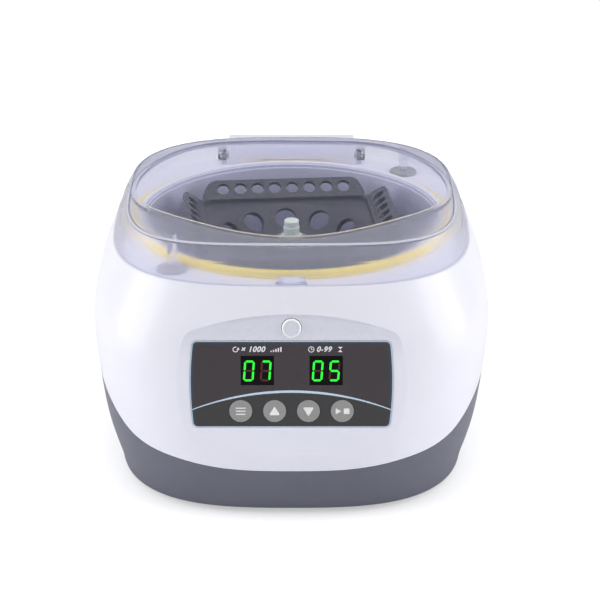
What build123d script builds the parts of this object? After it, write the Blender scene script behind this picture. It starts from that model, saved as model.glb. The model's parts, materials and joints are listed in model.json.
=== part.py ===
from build123d import *
import math
import os

os.makedirs("parts", exist_ok=True)

# Laboratory mini centrifuge: a two-part housing round a bowl, a hinged lid with a sunk
# window, a rotor for tubes and tube strips, its motor, a control panel and a power supply.
# Millimetres.  X right, -Y front, +Z up.
# Origin: centre of the footprint, on the plane the rubber feet stand on.

# --------------------------------------------------------- shared dimensions
# housing
WALL = 2.6
FLOOR_Z = 6.0  # top of the floor
DECK_Z = 117.0  # top of the deck
DECK_T = 2.8
DECK_UNDER = DECK_Z - DECK_T
DECK_BITE = 0.6  # how far hanging features run up into the deck
PART_GAP = 0.3  # gap between the two housing parts
# housing sections: z, half width, front depth, rear depth, front and rear roundness
BODY = [
    (3.5, 86.8, 94.6, 90.0, 2.95, 2.95),
    (15.0, 89.4, 100.4, 94.0, 2.94, 2.94),
    (35.0, 94.0, 103.5, 97.5, 3.10, 2.90),
    (65.0, 97.3, 101.1, 100.0, 3.50, 2.90),
    (90.0, 97.6, 97.2, 99.5, 3.40, 2.92),
    (105.0, 93.3, 93.6, 96.2, 3.10, 3.00),
    (DECK_Z, 88.6, 89.8, 90.5, 3.05, 3.05),
]
# parting line between the upper housing and the base, in (y, z)
PARTING = [
    (-116, 20.0), (-106, 25.5), (-97, 31.0), (-91, 33.2), (-85.7, 35.4),
    (-81, 37.9), (-76.7, 41.0), (-71, 45.2), (-60, 52.0), (-45, 58.8),
    (-28, 64.0), (-10, 66.6), (20, 67.6), (60, 68.0), (116, 68.0),
]

# front facet that carries the controls; places on it are (x, v), v running up the slope
FACET_Y = -97.9
FACET_Z = 69.0
FACET_TILT = math.radians(8.5)
PAD_T = 4.0  # wall behind the facet
FACET_ARCS = [  # start, middle and end of each edge
    ((-50, 27), (0, 35.8), (50, 27)),
    ((50, 27), (54.7, 0.5), (48.3, -26)),
    ((48.3, -26), (0, -32), (-48.3, -26)),
    ((-48.3, -26), (-54.7, 0.5), (-50, 27)),
]
FACET_CORNER_R = 6.0
FASCIA_T = 0.8
FASCIA_SINK = 0.6
KEY_PITCH = 16.0
KEY_V = -11.2
KEY_R = 5.45
KEY_GAP = 0.15
KEYS = [((i - 1.5) * KEY_PITCH, KEY_V) for i in range(4)]
DISPLAY_V = 8.7
DISPLAY_W = 15.4
DISPLAY_H = 14.2
DISPLAYS = [(-16.1, DISPLAY_V), (16.3, DISPLAY_V)]
BUTTON = (0, 29.4)
BUTTON_R = 4.6
PCB_FRONT = -9.0  # depths measured out of the facet
PCB_T = 1.6
PCB_BACK = PCB_FRONT - PCB_T
PCB_SCREWS = [(x, v) for v in (16.8, -16.0) for x in (43.2, -43.2)]

# chamber
COLLAR_R = 75.0
COLLAR_RO = 77.4
COLLAR_TOP = 119.5

# hinge, its axis along X
HINGE_Y = 92.0
HINGE_Z = 118.0
HUMP_R = 12.0
HUMP_X = 33.5  # half length of the hump
EAR_X0, EAR_X1 = 35.0, 39.5
EAR_W = EAR_X1 - EAR_X0
EAR_R = 5.0
PIN_R = 2.0
PIN_BORE_R = PIN_R + 0.05
PIN_BORE_HALF = 45.0

# bumper pads between deck and lid
PADS = [(-56.5, -67.0), (59.0, 65.5)]
PAD_R = 7.0

# base
FOOT_R = 8.0
FOOT_H = 5.0
COLUMN_R = 5.0
COLUMN_TOP = 60.0
SCREW_SEAT = 50.0  # z of the shoulder under the housing screw heads
POST_TOP = 40.0
BOARD_Z = 11.0  # underside of the power board

# rear panel; places on it are (u, z), u running along -X
REAR_Y = 94.0
PANEL = (0, 31)
PANEL_Z = PANEL[1]
PANEL_T = 1.5


# ------------------------------------------------------------------- helpers
def ring(half_width, front, rear_depth, front_power, rear_power, inset=0.0, count=48):
    """Points of a rounded-square outline with separate front and rear halves."""
    half_width, front, rear_depth = half_width - inset, front - inset, rear_depth - inset
    points = []
    for i in range(count):
        angle = 2 * math.pi * i / count
        c, s = math.cos(angle), math.sin(angle)
        depth, power = (rear_depth, rear_power) if s >= 0 else (front, front_power)
        r = ((abs(c) / half_width) ** power + (abs(s) / depth) ** power) ** (-1 / power)
        points.append((r * c, r * s))
    return points


def section_at(table, z):
    """Row of a section table at height z, by straight interpolation."""
    for low, high in zip(table, table[1:]):
        if low[0] <= z <= high[0]:
            k = (z - low[0]) / (high[0] - low[0])
            return (z, *(p + k * (q - p) for p, q in zip(low[1:], high[1:])))


def polar(r, degrees):
    angle = math.radians(degrees)
    return (r * math.cos(angle), r * math.sin(angle))


def level(z):
    """Horizontal plane at height z."""
    return Plane.XY.offset(z)


def facet(out=0.0):
    """Plane of the front facet, pushed out of the face; local y runs up the slope."""
    c, s = math.cos(FACET_TILT), math.sin(FACET_TILT)
    return Plane(
        origin=(0, FACET_Y - out * c, FACET_Z + out * s), x_dir=(1, 0, 0), z_dir=(0, -c, s)
    )


def across(x, y=0.0, z=0.0):
    """Plane whose normal is +X, local axes along +Y and +Z."""
    return Plane(origin=(x, y, z), x_dir=(0, 1, 0), z_dir=(1, 0, 0))


def across_hinge(x):
    return across(x, HINGE_Y, HINGE_Z)


def rear(y):
    """Plane facing +Y at depth y, local x along -X, local y along +Z."""
    return Plane(origin=(0, y, 0), x_dir=(-1, 0, 0), z_dir=(0, 1, 0))


def discs(points, radius, mode=Mode.ADD):
    """Equal circles in the sketch being built."""
    with Locations(*points):
        Circle(radius, mode=mode)


def rectangles(points, width, height, mode=Mode.ADD):
    """Equal rectangles, centred on the points, in the sketch being built."""
    with Locations(*points):
        Rectangle(width, height, mode=mode)


# The functions below each build a whole part, so they are called outside other builders.
def section_loft(sections, inset=0.0, ruled=False):
    """Loft through rows of a section table."""
    with BuildPart() as form:
        for z, *section in sections:
            with BuildSketch(level(z)):
                with BuildLine():
                    Spline(*ring(*section, inset=inset), periodic=True)
                make_face()
        loft(ruled=ruled)
    return form.part


def parting_block(gap, far_z):
    """Block between the parting line, raised by gap, and a level plane at far_z."""
    edge = [(y, z + gap) for y, z in PARTING]
    with BuildPart() as block:
        with BuildSketch(Plane.YZ):
            with BuildLine():
                Spline(*edge)
                Polyline(edge[-1], (116, far_z), (-116, far_z), edge[0])
            make_face()
        extrude(amount=130, both=True)
    return block.part


def facet_block(out, thickness, taper=0):
    """Block with the outline of the front facet."""
    with BuildPart() as block:
        with BuildSketch(facet(out)):
            with BuildLine():
                for arc in FACET_ARCS:
                    ThreePointArc(*arc)
            make_face()
            fillet(vertices(), FACET_CORNER_R)
        extrude(amount=thickness, taper=taper)
    return block.part


def turned(profile):
    """Body turned round Z from a closed (radius, z) profile."""
    with BuildPart() as body:
        with BuildSketch(Plane.XZ):
            with BuildLine():
                Polyline(*profile, close=True)
            make_face()
        revolve(axis=Axis.Z)
    return body.part


def stacked_discs(points, layers, plane_at=level):
    """The same stack of discs at each point; layers are (start, radius, height)."""
    with BuildPart() as stack:
        for start, radius, height in layers:
            with BuildSketch(plane_at(start)):
                discs(points, radius)
            extrude(amount=height)
    return stack.part


def springs(centres, direction, pitch, length, radius, wire_r):
    """Coil springs, each starting at its centre and running along direction."""
    with BuildPart() as coils:
        for centre in centres:
            with BuildLine() as coil:
                Helix(
                    pitch=pitch, height=length, radius=radius,
                    center=centre, direction=direction,
                )
            path = coil.wires()[0]
            with BuildSketch(Plane(origin=path @ 0, z_dir=path % 0)):
                Circle(wire_r)
            sweep(path=path, is_frenet=True)
    return coils.part


def save(name, part):
    part.label = name
    export_step(part, f"parts/{name}.step")


# screw, foot and post places in (x, y)
HOUSING_SCREWS = [(x, y) for y in (60, -60) for x in (62, -62)]
FEET = [(x, y) for y in (-72, 68) for x in (52, -52)]
POSTS = [polar(38.0, angle) for angle in (90, 210, 330)]
BOWL_SCREW_ANGLES = [20, 160, 200, 340]
BOWL_SCREWS = [polar(83.0, angle) for angle in BOWL_SCREW_ANGLES]
MOTOR_SCREWS = [polar(14, angle) for angle in (45, 135, 225, 315)]
BOARD_SCREWS = [(x, y) for x in (-76, -50) for y in (36, -36)]
PANEL_SCREWS = [(u, z) for z in (40, 22) for u in (34, -34)]  # on the rear panel

# ------------------------------------------------------------- housing forms
INNER_HEIGHTS = [FLOOR_Z] + [row[0] for row in BODY[1:-1]] + [DECK_UNDER]

outer_form = section_loft(BODY)
inner_form = section_loft([section_at(BODY, z) for z in INNER_HEIGHTS], inset=WALL)
below_parting = parting_block(gap=0, far_z=-10)
above_parting = parting_block(gap=PART_GAP, far_z=150)
facet_back = facet_block(-PAD_T, PAD_T)
facet_front = facet_block(0, 14, taper=-25)

with BuildPart() as shell_form:
    add(outer_form)
    add(inner_form, mode=Mode.SUBTRACT)
    add(facet_back)
    add(facet_front, mode=Mode.SUBTRACT)

FASCIA_HALF_W = 46.6  # at the corners; the sides bow out to FASCIA_BOW
FASCIA_BOW = 48.0
FASCIA_LOW, FASCIA_MID, FASCIA_HIGH = -19.3, 2.0, 23.2

with BuildPart() as fascia_outline:
    with BuildSketch(facet(-FASCIA_SINK)):
        with BuildLine():
            ThreePointArc(
                (FASCIA_HALF_W, FASCIA_LOW), (FASCIA_BOW, FASCIA_MID),
                (FASCIA_HALF_W, FASCIA_HIGH),
            )
            Line((FASCIA_HALF_W, FASCIA_HIGH), (-FASCIA_HALF_W, FASCIA_HIGH))
            ThreePointArc(
                (-FASCIA_HALF_W, FASCIA_HIGH), (-FASCIA_BOW, FASCIA_MID),
                (-FASCIA_HALF_W, FASCIA_LOW),
            )
            Line((-FASCIA_HALF_W, FASCIA_LOW), (FASCIA_HALF_W, FASCIA_LOW))
        make_face()
        fillet(vertices(), 2.6)
    extrude(amount=FASCIA_T)

# lining that closes the pockets for the lid's hinge ears
LINING_X0, LINING_X1 = HUMP_X - 0.5, 42.0
LINING_T = 2.6

with BuildPart() as ear_lining:
    for x0 in (LINING_X0, -LINING_X1):
        with BuildSketch(across_hinge(x0)):
            Circle(EAR_R + LINING_T)
        extrude(amount=LINING_X1 - LINING_X0)
    add(outer_form, mode=Mode.INTERSECT)

# ------------------------------------------------------------- upper housing
HUMP_SKIRT = [  # (y, z) of the solid under the hump
    (104, 118), (103.6, 113), (99.4, 94), (94, 94), (80, 108), (80, 118),
]
HUMP_RIB_HALF = 6.0
SPRING_CHAMBER_W = 25.0
SPRING_CHAMBER_R = 9.5
EAR_POCKET_SIDE = 0.7  # clearances round the ears
EAR_POCKET_RADIAL = 0.8
UPPER_COLUMN_Z = COLUMN_TOP + 0.2
BOWL_BOSS_Z = 105.0
SWITCH_RIB_Z = 110.0
LID_SWITCH = (22.5, -80.5)

with BuildPart() as upper_housing:
    add(shell_form.part)
    add(above_parting, mode=Mode.INTERSECT)
    # collar round the chamber mouth
    with BuildSketch(level(DECK_UNDER)):
        Circle(COLLAR_RO)
    extrude(amount=COLLAR_TOP - DECK_UNDER)
    # hinge hump along the rear edge
    with BuildSketch(across(-HUMP_X)):
        discs([(HINGE_Y, HINGE_Z)], HUMP_R)
        with BuildLine():
            Polyline(*HUMP_SKIRT, close=True)
        make_face()
    extrude(amount=2 * HUMP_X)
    add(ear_lining.part)
    # screw columns and bowl bosses hanging from the deck
    with BuildSketch(level(UPPER_COLUMN_Z)):
        discs(HOUSING_SCREWS, COLUMN_R)
    extrude(amount=DECK_UNDER + DECK_BITE - UPPER_COLUMN_Z)
    with BuildSketch(level(BOWL_BOSS_Z)):
        discs(BOWL_SCREWS, 3.6)
    extrude(amount=DECK_UNDER + DECK_BITE - BOWL_BOSS_Z)
    # rib that carries the lid switch
    with BuildSketch(level(SWITCH_RIB_Z)):
        rectangles([LID_SWITCH], 12, 3)
    extrude(amount=DECK_UNDER + DECK_BITE - SWITCH_RIB_Z)
    # bosses that carry the control board
    with BuildSketch(facet(PCB_FRONT)):
        discs(PCB_SCREWS, 2.8)
    extrude(amount=-PCB_FRONT - PAD_T + 0.5)
    # chamber opening
    with BuildSketch(level(104.0)):
        Circle(COLLAR_R)
    extrude(amount=20, mode=Mode.SUBTRACT)
    # hollow hump: two spring chambers with a rib between them
    for x0 in (HUMP_RIB_HALF, -HUMP_RIB_HALF - SPRING_CHAMBER_W):
        with BuildSketch(across(x0)):
            discs([(HINGE_Y, HINGE_Z)], SPRING_CHAMBER_R)
            rectangles([(90.4, 109.0)], 11.4, 18.0)
        extrude(amount=SPRING_CHAMBER_W, mode=Mode.SUBTRACT)
    # bore for the hinge pin
    with BuildSketch(across_hinge(-PIN_BORE_HALF)):
        Circle(PIN_BORE_R)
    extrude(amount=2 * PIN_BORE_HALF, mode=Mode.SUBTRACT)
    # pockets for the hinge ears
    for x0 in (EAR_X0 - EAR_POCKET_SIDE, -EAR_X1 - EAR_POCKET_SIDE):
        with BuildSketch(across_hinge(x0)):
            Circle(EAR_R + EAR_POCKET_RADIAL)
        extrude(amount=EAR_W + 2 * EAR_POCKET_SIDE, mode=Mode.SUBTRACT)
    # slot for the latch prongs
    with BuildSketch(level(110)):
        rectangles([(0, -84.7)], 14.8, 4.6)
    extrude(amount=8, mode=Mode.SUBTRACT)
    # seat for the control fascia, then windows, key holes and button hole
    add(fascia_outline.part, mode=Mode.SUBTRACT)
    with BuildSketch(facet(-PAD_T - 2)):
        rectangles(DISPLAYS, DISPLAY_W + 0.4, DISPLAY_H + 0.4)
        discs(KEYS, KEY_R + KEY_GAP)
        discs([BUTTON], BUTTON_R + 0.25)
    extrude(amount=PAD_T + 3, mode=Mode.SUBTRACT)
    # pilot holes
    with BuildSketch(level(COLUMN_TOP)):
        discs(HOUSING_SCREWS, 1.55)
    extrude(amount=14, mode=Mode.SUBTRACT)
    with BuildSketch(level(BOWL_BOSS_Z - 0.5)):
        discs(BOWL_SCREWS, 1.45)
    extrude(amount=8, mode=Mode.SUBTRACT)
    with BuildSketch(facet(PCB_FRONT - 0.2)):
        discs(PCB_SCREWS, 1.1)
    extrude(amount=4.4, mode=Mode.SUBTRACT)
save("upper_housing", upper_housing.part)

# -------------------------------------------------------------- base housing
ROOT_Z = FLOOR_Z - 1  # columns start inside the floor
PANEL_PAD_T = 4.0

with BuildPart() as base_housing:
    add(shell_form.part)
    add(below_parting, mode=Mode.INTERSECT)
    # flat pad for the rear panel, and the flared recess in front of its face
    with BuildSketch(rear(REAR_Y - PANEL_PAD_T)):
        with Locations(PANEL):
            RectangleRounded(82, 40, 5)
    extrude(amount=PANEL_PAD_T)
    with BuildSketch(rear(REAR_Y)):
        with Locations(PANEL):
            RectangleRounded(82, 40, 5)
    extrude(amount=12.0, taper=-20, mode=Mode.SUBTRACT)
    # screw columns, motor posts and board stand-offs: places, radius, top
    for places, radius, top in (
        (HOUSING_SCREWS, COLUMN_R, COLUMN_TOP),
        (POSTS, 6.0, POST_TOP),
        (BOARD_SCREWS, 3.0, BOARD_Z),
    ):
        with BuildSketch(level(ROOT_Z)):
            discs(places, radius)
        extrude(amount=top - ROOT_Z)
    # foot recesses, screw wells, then clearance and pilot holes:
    # places, radius, bottom, depth
    for places, radius, bottom, depth in (
        (FEET, FOOT_R + 0.05, 0, FOOT_H),
        (HOUSING_SCREWS, 3.4, 0, SCREW_SEAT),
        (HOUSING_SCREWS, 1.8, SCREW_SEAT - 1, 12),
        (POSTS, 2.05, 28, 13),
        (BOARD_SCREWS, 1.1, 6.5, 6),
    ):
        with BuildSketch(level(bottom)):
            discs(places, radius)
        extrude(amount=depth, mode=Mode.SUBTRACT)
    # cooling slots in the floor
    with BuildSketch(level(2)):
        with Locations(*[(x, 0) for x in range(-24, 25, 8)]):
            SlotOverall(40, 3.2, rotation=90)
    extrude(amount=6, mode=Mode.SUBTRACT)
    # seat, window and pilot holes for the rear panel
    with BuildSketch(rear(REAR_Y - PANEL_T)):
        with Locations(PANEL):
            RectangleRounded(74, 34, 2)
    extrude(amount=3, mode=Mode.SUBTRACT)
    with BuildSketch(rear(REAR_Y - 8)):
        with Locations(PANEL):
            RectangleRounded(62, 29, 2)
    extrude(amount=9, mode=Mode.SUBTRACT)
    with BuildSketch(rear(REAR_Y - 4.5)):
        discs(PANEL_SCREWS, 1.1)
    extrude(amount=4, mode=Mode.SUBTRACT)
save("base_housing", base_housing.part)

with BuildPart() as rubber_feet:
    with BuildSketch(Plane.XY):
        discs(FEET, FOOT_R)
    extrude(amount=FOOT_H)
    chamfer(rubber_feet.edges().filter_by(GeomType.CIRCLE).group_by(Axis.Z)[0], 0.8)
save("rubber_feet", rubber_feet.part)

HOUSING_HEAD_R = 2.8
HEX_SOCKET_R = 1.3
HALF_HEAD = 1.2  # the socket reaches half way into the head

with BuildPart() as housing_screws:
    with BuildSketch(level(SCREW_SEAT - 2 * HALF_HEAD)):
        with Locations(*HOUSING_SCREWS):
            Circle(HOUSING_HEAD_R)
            RegularPolygon(HEX_SOCKET_R, 6, mode=Mode.SUBTRACT)
    extrude(amount=HALF_HEAD)
    with BuildSketch(level(SCREW_SEAT - HALF_HEAD)):
        discs(HOUSING_SCREWS, HOUSING_HEAD_R)
    extrude(amount=HALF_HEAD)
    with BuildSketch(level(SCREW_SEAT)):
        discs(HOUSING_SCREWS, 1.5)
    extrude(amount=22)
save("housing_screws", housing_screws.part)

# ------------------------------------------------------------------- chamber
BOWL_R = 73.0
BOWL_RO = 74.8
BOWL_TOP = 118.8
BOWL_FLOOR = 64.0
BOWL_BOTTOM = 62.0
BOWL_HOLE_R = 6.5
BOWL_HUB_TOP = BOWL_FLOOR + 2.5  # raised rim round the shaft hole
BOWL_CORNER = 6.0
BOWL_EAR_Z = 102.8
BOWL_EAR_T = 2.2

bowl_wall = turned([
    (BOWL_HOLE_R, BOWL_BOTTOM), (BOWL_RO - BOWL_CORNER, BOWL_BOTTOM),
    (BOWL_RO, BOWL_BOTTOM + BOWL_CORNER), (BOWL_RO, BOWL_TOP),
    (BOWL_R + 0.4, BOWL_TOP), (BOWL_R + 0.4, 117.4), (BOWL_R, 117.0),
    (BOWL_R, BOWL_FLOOR + BOWL_CORNER), (BOWL_R - 1.8, BOWL_FLOOR + 1.8),
    (BOWL_R - BOWL_CORNER, BOWL_FLOOR), (12, BOWL_FLOOR), (9, BOWL_HUB_TOP),
    (BOWL_HOLE_R, BOWL_HUB_TOP),
])

with BuildPart() as chamber_bowl:
    add(bowl_wall)
    # ears for the bowl screws
    with BuildSketch(level(BOWL_EAR_Z)):
        discs(BOWL_SCREWS, 4.2)
        for angle in BOWL_SCREW_ANGLES:
            with Locations(Location(Vector(*polar(79.0, angle)), angle)):
                Rectangle(9.6, 7.0)
    extrude(amount=BOWL_EAR_T)
    with BuildSketch(level(102)):
        discs(BOWL_SCREWS, 1.6)
    extrude(amount=4, mode=Mode.SUBTRACT)
save("chamber_bowl", chamber_bowl.part)

BOWL_HEAD_H = 1.8
save("bowl_screws", stacked_discs(
    BOWL_SCREWS, [(BOWL_EAR_Z - BOWL_HEAD_H, 2.6, BOWL_HEAD_H), (BOWL_EAR_Z, 1.4, 9)]
))

GASKET_R = COLLAR_RO + 0.05
GASKET_Z = DECK_Z + 0.05
save("chamber_gasket", turned([
    (GASKET_R, GASKET_Z), (79.7, GASKET_Z), (79.7, 118.2), (79.3, 118.5),
    (77.9, 119.2), (GASKET_R, 119.2),
]))

with BuildPart() as lid_bumper_pads:
    with BuildSketch(level(DECK_Z)):
        discs(PADS, PAD_R)
    extrude(amount=1.5)
    fillet(lid_bumper_pads.edges().filter_by(GeomType.CIRCLE).group_by(Axis.Z)[-1], 0.6)
save("lid_bumper_pads", lid_bumper_pads.part)

# ----------------------------------------------------------------------- lid
LID_BOTTOM = 117.2
LID_SHOULDER = 127.5
LID_TOP = 136.2
LID_T = 2.4
# lid sections, with the columns of BODY
LID = [
    (LID_BOTTOM, 88.0, 89.2, 90.0, 3.0, 3.0),
    (LID_SHOULDER, 84.7, 86.3, 82.2, 3.4, 2.9),
    (135.4, 80.9, 83.03, 73.67, 3.95, 2.855),
    (LID_TOP, 79.9, 82.10, 72.20, 4.0, 2.85),
]
# right half of the window outline in (x, y), from the rear round to the front
WINDOW = [
    (0, 66.4), (24.4, 65.9), (34.9, 64.6), (46.2, 60.2), (57.1, 51.0),
    (65.5, 39.6), (70.6, 29.4), (75.2, 14.8), (77.2, 0.3), (77.0, -10.8),
    (74.6, -21.7), (70.4, -30.4), (63.0, -39.0), (52.7, -47.8), (42.0, -55.8),
    (31.5, -62.7), (21.0, -68.0), (10.0, -71.6), (0, -72.6),
]
WINDOW_LOOP = WINDOW + [(-x, y) for x, y in WINDOW[-2:0:-1]]
WINDOW_SINK = 2.0
WINDOW_T = 2.3
WINDOW_BACKING = 1.03  # outline scale of the plate kept under the window
HUMP_WALL = 2.6  # lid wall round the notch over the hump
HUMP_WALL_X = HUMP_X + 3.7
NOTCH_X = HUMP_X + 1.2

lid_outer = section_loft(LID, ruled=True)
lid_hollow = section_loft(
    [section_at(LID, z) for z in (LID_BOTTOM, LID_SHOULDER, LID_TOP - LID_T)],
    inset=LID_T, ruled=True,
)

with BuildPart() as lid_window:
    with BuildSketch(level(LID_TOP - WINDOW_SINK)):
        with BuildLine():
            Spline(*WINDOW_LOOP, periodic=True)
        make_face()
    extrude(amount=WINDOW_SINK + 1)

with BuildPart() as lid_cavity:
    add(lid_hollow)
    # thickness kept under the window
    with BuildSketch(level(LID_TOP - WINDOW_SINK - WINDOW_T)):
        with BuildLine():
            Spline(
                *[(x * WINDOW_BACKING, y * WINDOW_BACKING) for x, y in WINDOW_LOOP],
                periodic=True,
            )
        make_face()
    extrude(amount=8, mode=Mode.SUBTRACT)
    # wall kept round the hinge hump
    with BuildSketch(across_hinge(-HUMP_WALL_X)):
        Circle(HUMP_R + HUMP_WALL)
    extrude(amount=2 * HUMP_WALL_X, mode=Mode.SUBTRACT)
    # pegs kept over the bumper pads
    with BuildSketch(level(LID_BOTTOM)):
        discs(PADS, 2.25)
    extrude(amount=20, mode=Mode.SUBTRACT)

with BuildPart() as lid:
    add(lid_outer)
    add(lid_cavity.part, mode=Mode.SUBTRACT)
    add(lid_window.part, mode=Mode.SUBTRACT)
    # hinge ears
    for x0 in (EAR_X0, -EAR_X1):
        with BuildSketch(across(x0)):
            discs([(HINGE_Y, HINGE_Z)], EAR_R)
            rectangles([(HINGE_Y - 4.0, HINGE_Z + 2.1)], 8.0, 5.6)
        extrude(amount=EAR_W)
    # notch over the hump
    with BuildSketch(across_hinge(-NOTCH_X)):
        Circle(HUMP_R + 0.6)
    extrude(amount=2 * NOTCH_X, mode=Mode.SUBTRACT)
    with BuildSketch(across(-NOTCH_X)):
        rectangles([(HINGE_Y + 10, HINGE_Z)], 20, 26)
    extrude(amount=2 * NOTCH_X, mode=Mode.SUBTRACT)
    # room for the collar and the gasket under the hump wall
    with BuildSketch(level(LID_BOTTOM - 1)):
        Circle(80.4)
    extrude(amount=3.6, mode=Mode.SUBTRACT)
    # peg ends stand just above the pads
    with BuildSketch(level(LID_BOTTOM - 1)):
        discs(PADS, 2.6)
    extrude(amount=2.4, mode=Mode.SUBTRACT)
    # bore for the hinge pin
    with BuildSketch(across_hinge(-PIN_BORE_HALF)):
        Circle(PIN_BORE_R)
    extrude(amount=2 * PIN_BORE_HALF, mode=Mode.SUBTRACT)
save("lid", lid.part)

PIN_HALF = 39.4

with BuildPart() as hinge_pin:
    with BuildSketch(across_hinge(-PIN_HALF)):
        Circle(PIN_R)
    extrude(amount=2 * PIN_HALF)
    chamfer(hinge_pin.edges(), 0.4)
save("hinge_pin", hinge_pin.part)

# two coil springs round the pin, one each side of the hump's rib
SPRING_X = 11.0
SPRING_L = 16.0
save("hinge_springs", springs(
    [(x, HINGE_Y, HINGE_Z) for x in (SPRING_X, -SPRING_X - SPRING_L)],
    direction=(1, 0, 0), pitch=1.25, length=SPRING_L, radius=3.4, wire_r=0.42,
))

# --------------------------------------------------------------------- latch
PRONG_X = 4.8  # prong centres, either side of the middle
PRONG_W = 3.3
PRONG_BOTTOM = 106.0
PRONG_BARB = [  # (y, z), on the rear side of the prong tip
    (-84.3, PRONG_BOTTOM), (-83.6, PRONG_BOTTOM), (-82.9, 107.4), (-82.9, 108.5),
    (-84.3, 108.5),
]
LATCH_SPRING_Z = 97.0
SLIDE_BOTTOM = 92.2
GUIDE_BOTTOM = 92.0  # underside of the guide's walls
GUIDE_FLOOR_T = 1.6
GUIDE_W = 24.6
GUIDE_Y = -80.0
GUIDE_DEPTH = 7.4

# cross bar under the lid with two barbed prongs
with BuildPart() as latch_hook:
    with BuildSketch(level(117.5)):
        rectangles([(0, -84.9)], 13.2, 3.2)
    extrude(amount=2.4)
    with BuildSketch(level(PRONG_BOTTOM)):
        rectangles([(PRONG_X, -85.3), (-PRONG_X, -85.3)], PRONG_W, 2.2)
    extrude(amount=12)
    for x0 in (PRONG_X - PRONG_W / 2, -PRONG_X - PRONG_W / 2):
        with BuildSketch(across(x0)):
            with BuildLine():
                Polyline(*PRONG_BARB, close=True)
            make_face()
        extrude(amount=PRONG_W)
    add(lid.part, mode=Mode.SUBTRACT)
save("latch_hook", latch_hook.part)

with BuildPart() as latch_slide:
    with BuildSketch(level(SLIDE_BOTTOM)):
        rectangles([(0, -81.75)], 18, 1.5)
    extrude(amount=17.8)
    # boss on the rear face that guides the return spring
    with BuildSketch(rear(-81.0)):
        discs([(0, LATCH_SPRING_Z)], 0.9)
    extrude(amount=0.6)
save("latch_slide", latch_slide.part)

with BuildPart() as latch_catch:
    with BuildSketch(level(108.8)):
        rectangles([(0, -83.27)], 14.0, 1.5)
    extrude(amount=1.2)
save("latch_catch", latch_catch.part)

# two side walls, a rear wall and a floor round the slide
with BuildPart() as latch_guide:
    with BuildSketch(level(GUIDE_BOTTOM)):
        rectangles([(10.8, GUIDE_Y), (-10.8, GUIDE_Y)], 3.0, GUIDE_DEPTH)
        rectangles([(0, -76.8)], GUIDE_W, 1.0)
    extrude(amount=DECK_UNDER - GUIDE_BOTTOM)
    with BuildSketch(level(GUIDE_BOTTOM - GUIDE_FLOOR_T)):
        rectangles([(0, GUIDE_Y)], GUIDE_W, GUIDE_DEPTH)
    extrude(amount=GUIDE_FLOOR_T)
save("latch_guide", latch_guide.part)

save("latch_spring", springs(
    [(0, -80.75, LATCH_SPRING_Z)],
    direction=(0, 1, 0), pitch=0.95, length=3.1, radius=1.7, wire_r=0.2,
))

with BuildPart() as release_button:
    with BuildSketch(facet(-4.3)):
        discs([BUTTON], BUTTON_R)
    extrude(amount=5.7)
    fillet(release_button.edges().filter_by(GeomType.CIRCLE).sort_by(Axis.Y)[0], 0.7)
    # shallow dish in the face
    with BuildSketch(facet(1.05)):
        discs([BUTTON], 3.5)
    extrude(amount=1, mode=Mode.SUBTRACT)
    # retaining flange, then the stem behind it
    with BuildSketch(facet(-5.3)):
        discs([BUTTON], BUTTON_R + 1.4)
    extrude(amount=1.0)
    with BuildSketch(facet(-10.6)):
        discs([BUTTON], 2.4)
    extrude(amount=5.5)
save("release_button", release_button.part)

LID_SWITCH_H = 6.5
TERMINAL_L = 2.5
TERMINAL_PITCH = 4.0

with BuildPart() as lid_switch:
    with BuildSketch(level(SWITCH_RIB_Z - LID_SWITCH_H)):
        rectangles([LID_SWITCH], 12.8, 5.8)
    extrude(amount=LID_SWITCH_H)
    with BuildSketch(level(SWITCH_RIB_Z - LID_SWITCH_H - TERMINAL_L)):
        rectangles(
            [(LID_SWITCH[0] + i * TERMINAL_PITCH, LID_SWITCH[1]) for i in (-1, 0, 1)],
            0.6, 2.6,
        )
    extrude(amount=TERMINAL_L)
save("lid_switch", lid_switch.part)

# ------------------------------------------------------------- control panel
with BuildPart() as control_fascia:
    add(fascia_outline.part)
    with BuildSketch(facet(-1)):
        rectangles(DISPLAYS, DISPLAY_W + 0.2, DISPLAY_H + 0.2)
        discs(KEYS, KEY_R + KEY_GAP)
    extrude(amount=3, mode=Mode.SUBTRACT)
save("control_fascia", control_fascia.part)

DISPLAY_FACE = -0.3

for display_name, place in zip(("display_speed", "display_time"), DISPLAYS):
    with BuildPart() as display:
        with BuildSketch(facet(PCB_FRONT)):
            rectangles([place], DISPLAY_W, DISPLAY_H)
        extrude(amount=DISPLAY_FACE - PCB_FRONT)
    save(display_name, display.part)

# seven-segment digits: outer size, stroke, slant
DIGIT_W, DIGIT_H, STROKE, SLANT = 5.0, 10.2, 0.95, 0.07
DIGIT_OFFSET = 3.95  # from the display's centre line
DIGIT_V = DISPLAY_V - 0.3
BAR_GAP = 0.16
HALF_W, HALF_H = (DIGIT_W - STROKE) / 2, (DIGIT_H - STROKE) / 2
BARS = {  # ends of each bar's centre line
    "a": ((-HALF_W, HALF_H), (HALF_W, HALF_H)),
    "b": ((HALF_W, HALF_H), (HALF_W, 0)),
    "c": ((HALF_W, 0), (HALF_W, -HALF_H)),
    "d": ((-HALF_W, -HALF_H), (HALF_W, -HALF_H)),
    "e": ((-HALF_W, 0), (-HALF_W, -HALF_H)),
    "f": ((-HALF_W, HALF_H), (-HALF_W, 0)),
    "g": ((-HALF_W, 0), (HALF_W, 0)),
}
LIT_BARS = {"0": "abcdef", "7": "abc", "5": "acdfg"}
READINGS = ("07", "05")


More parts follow.
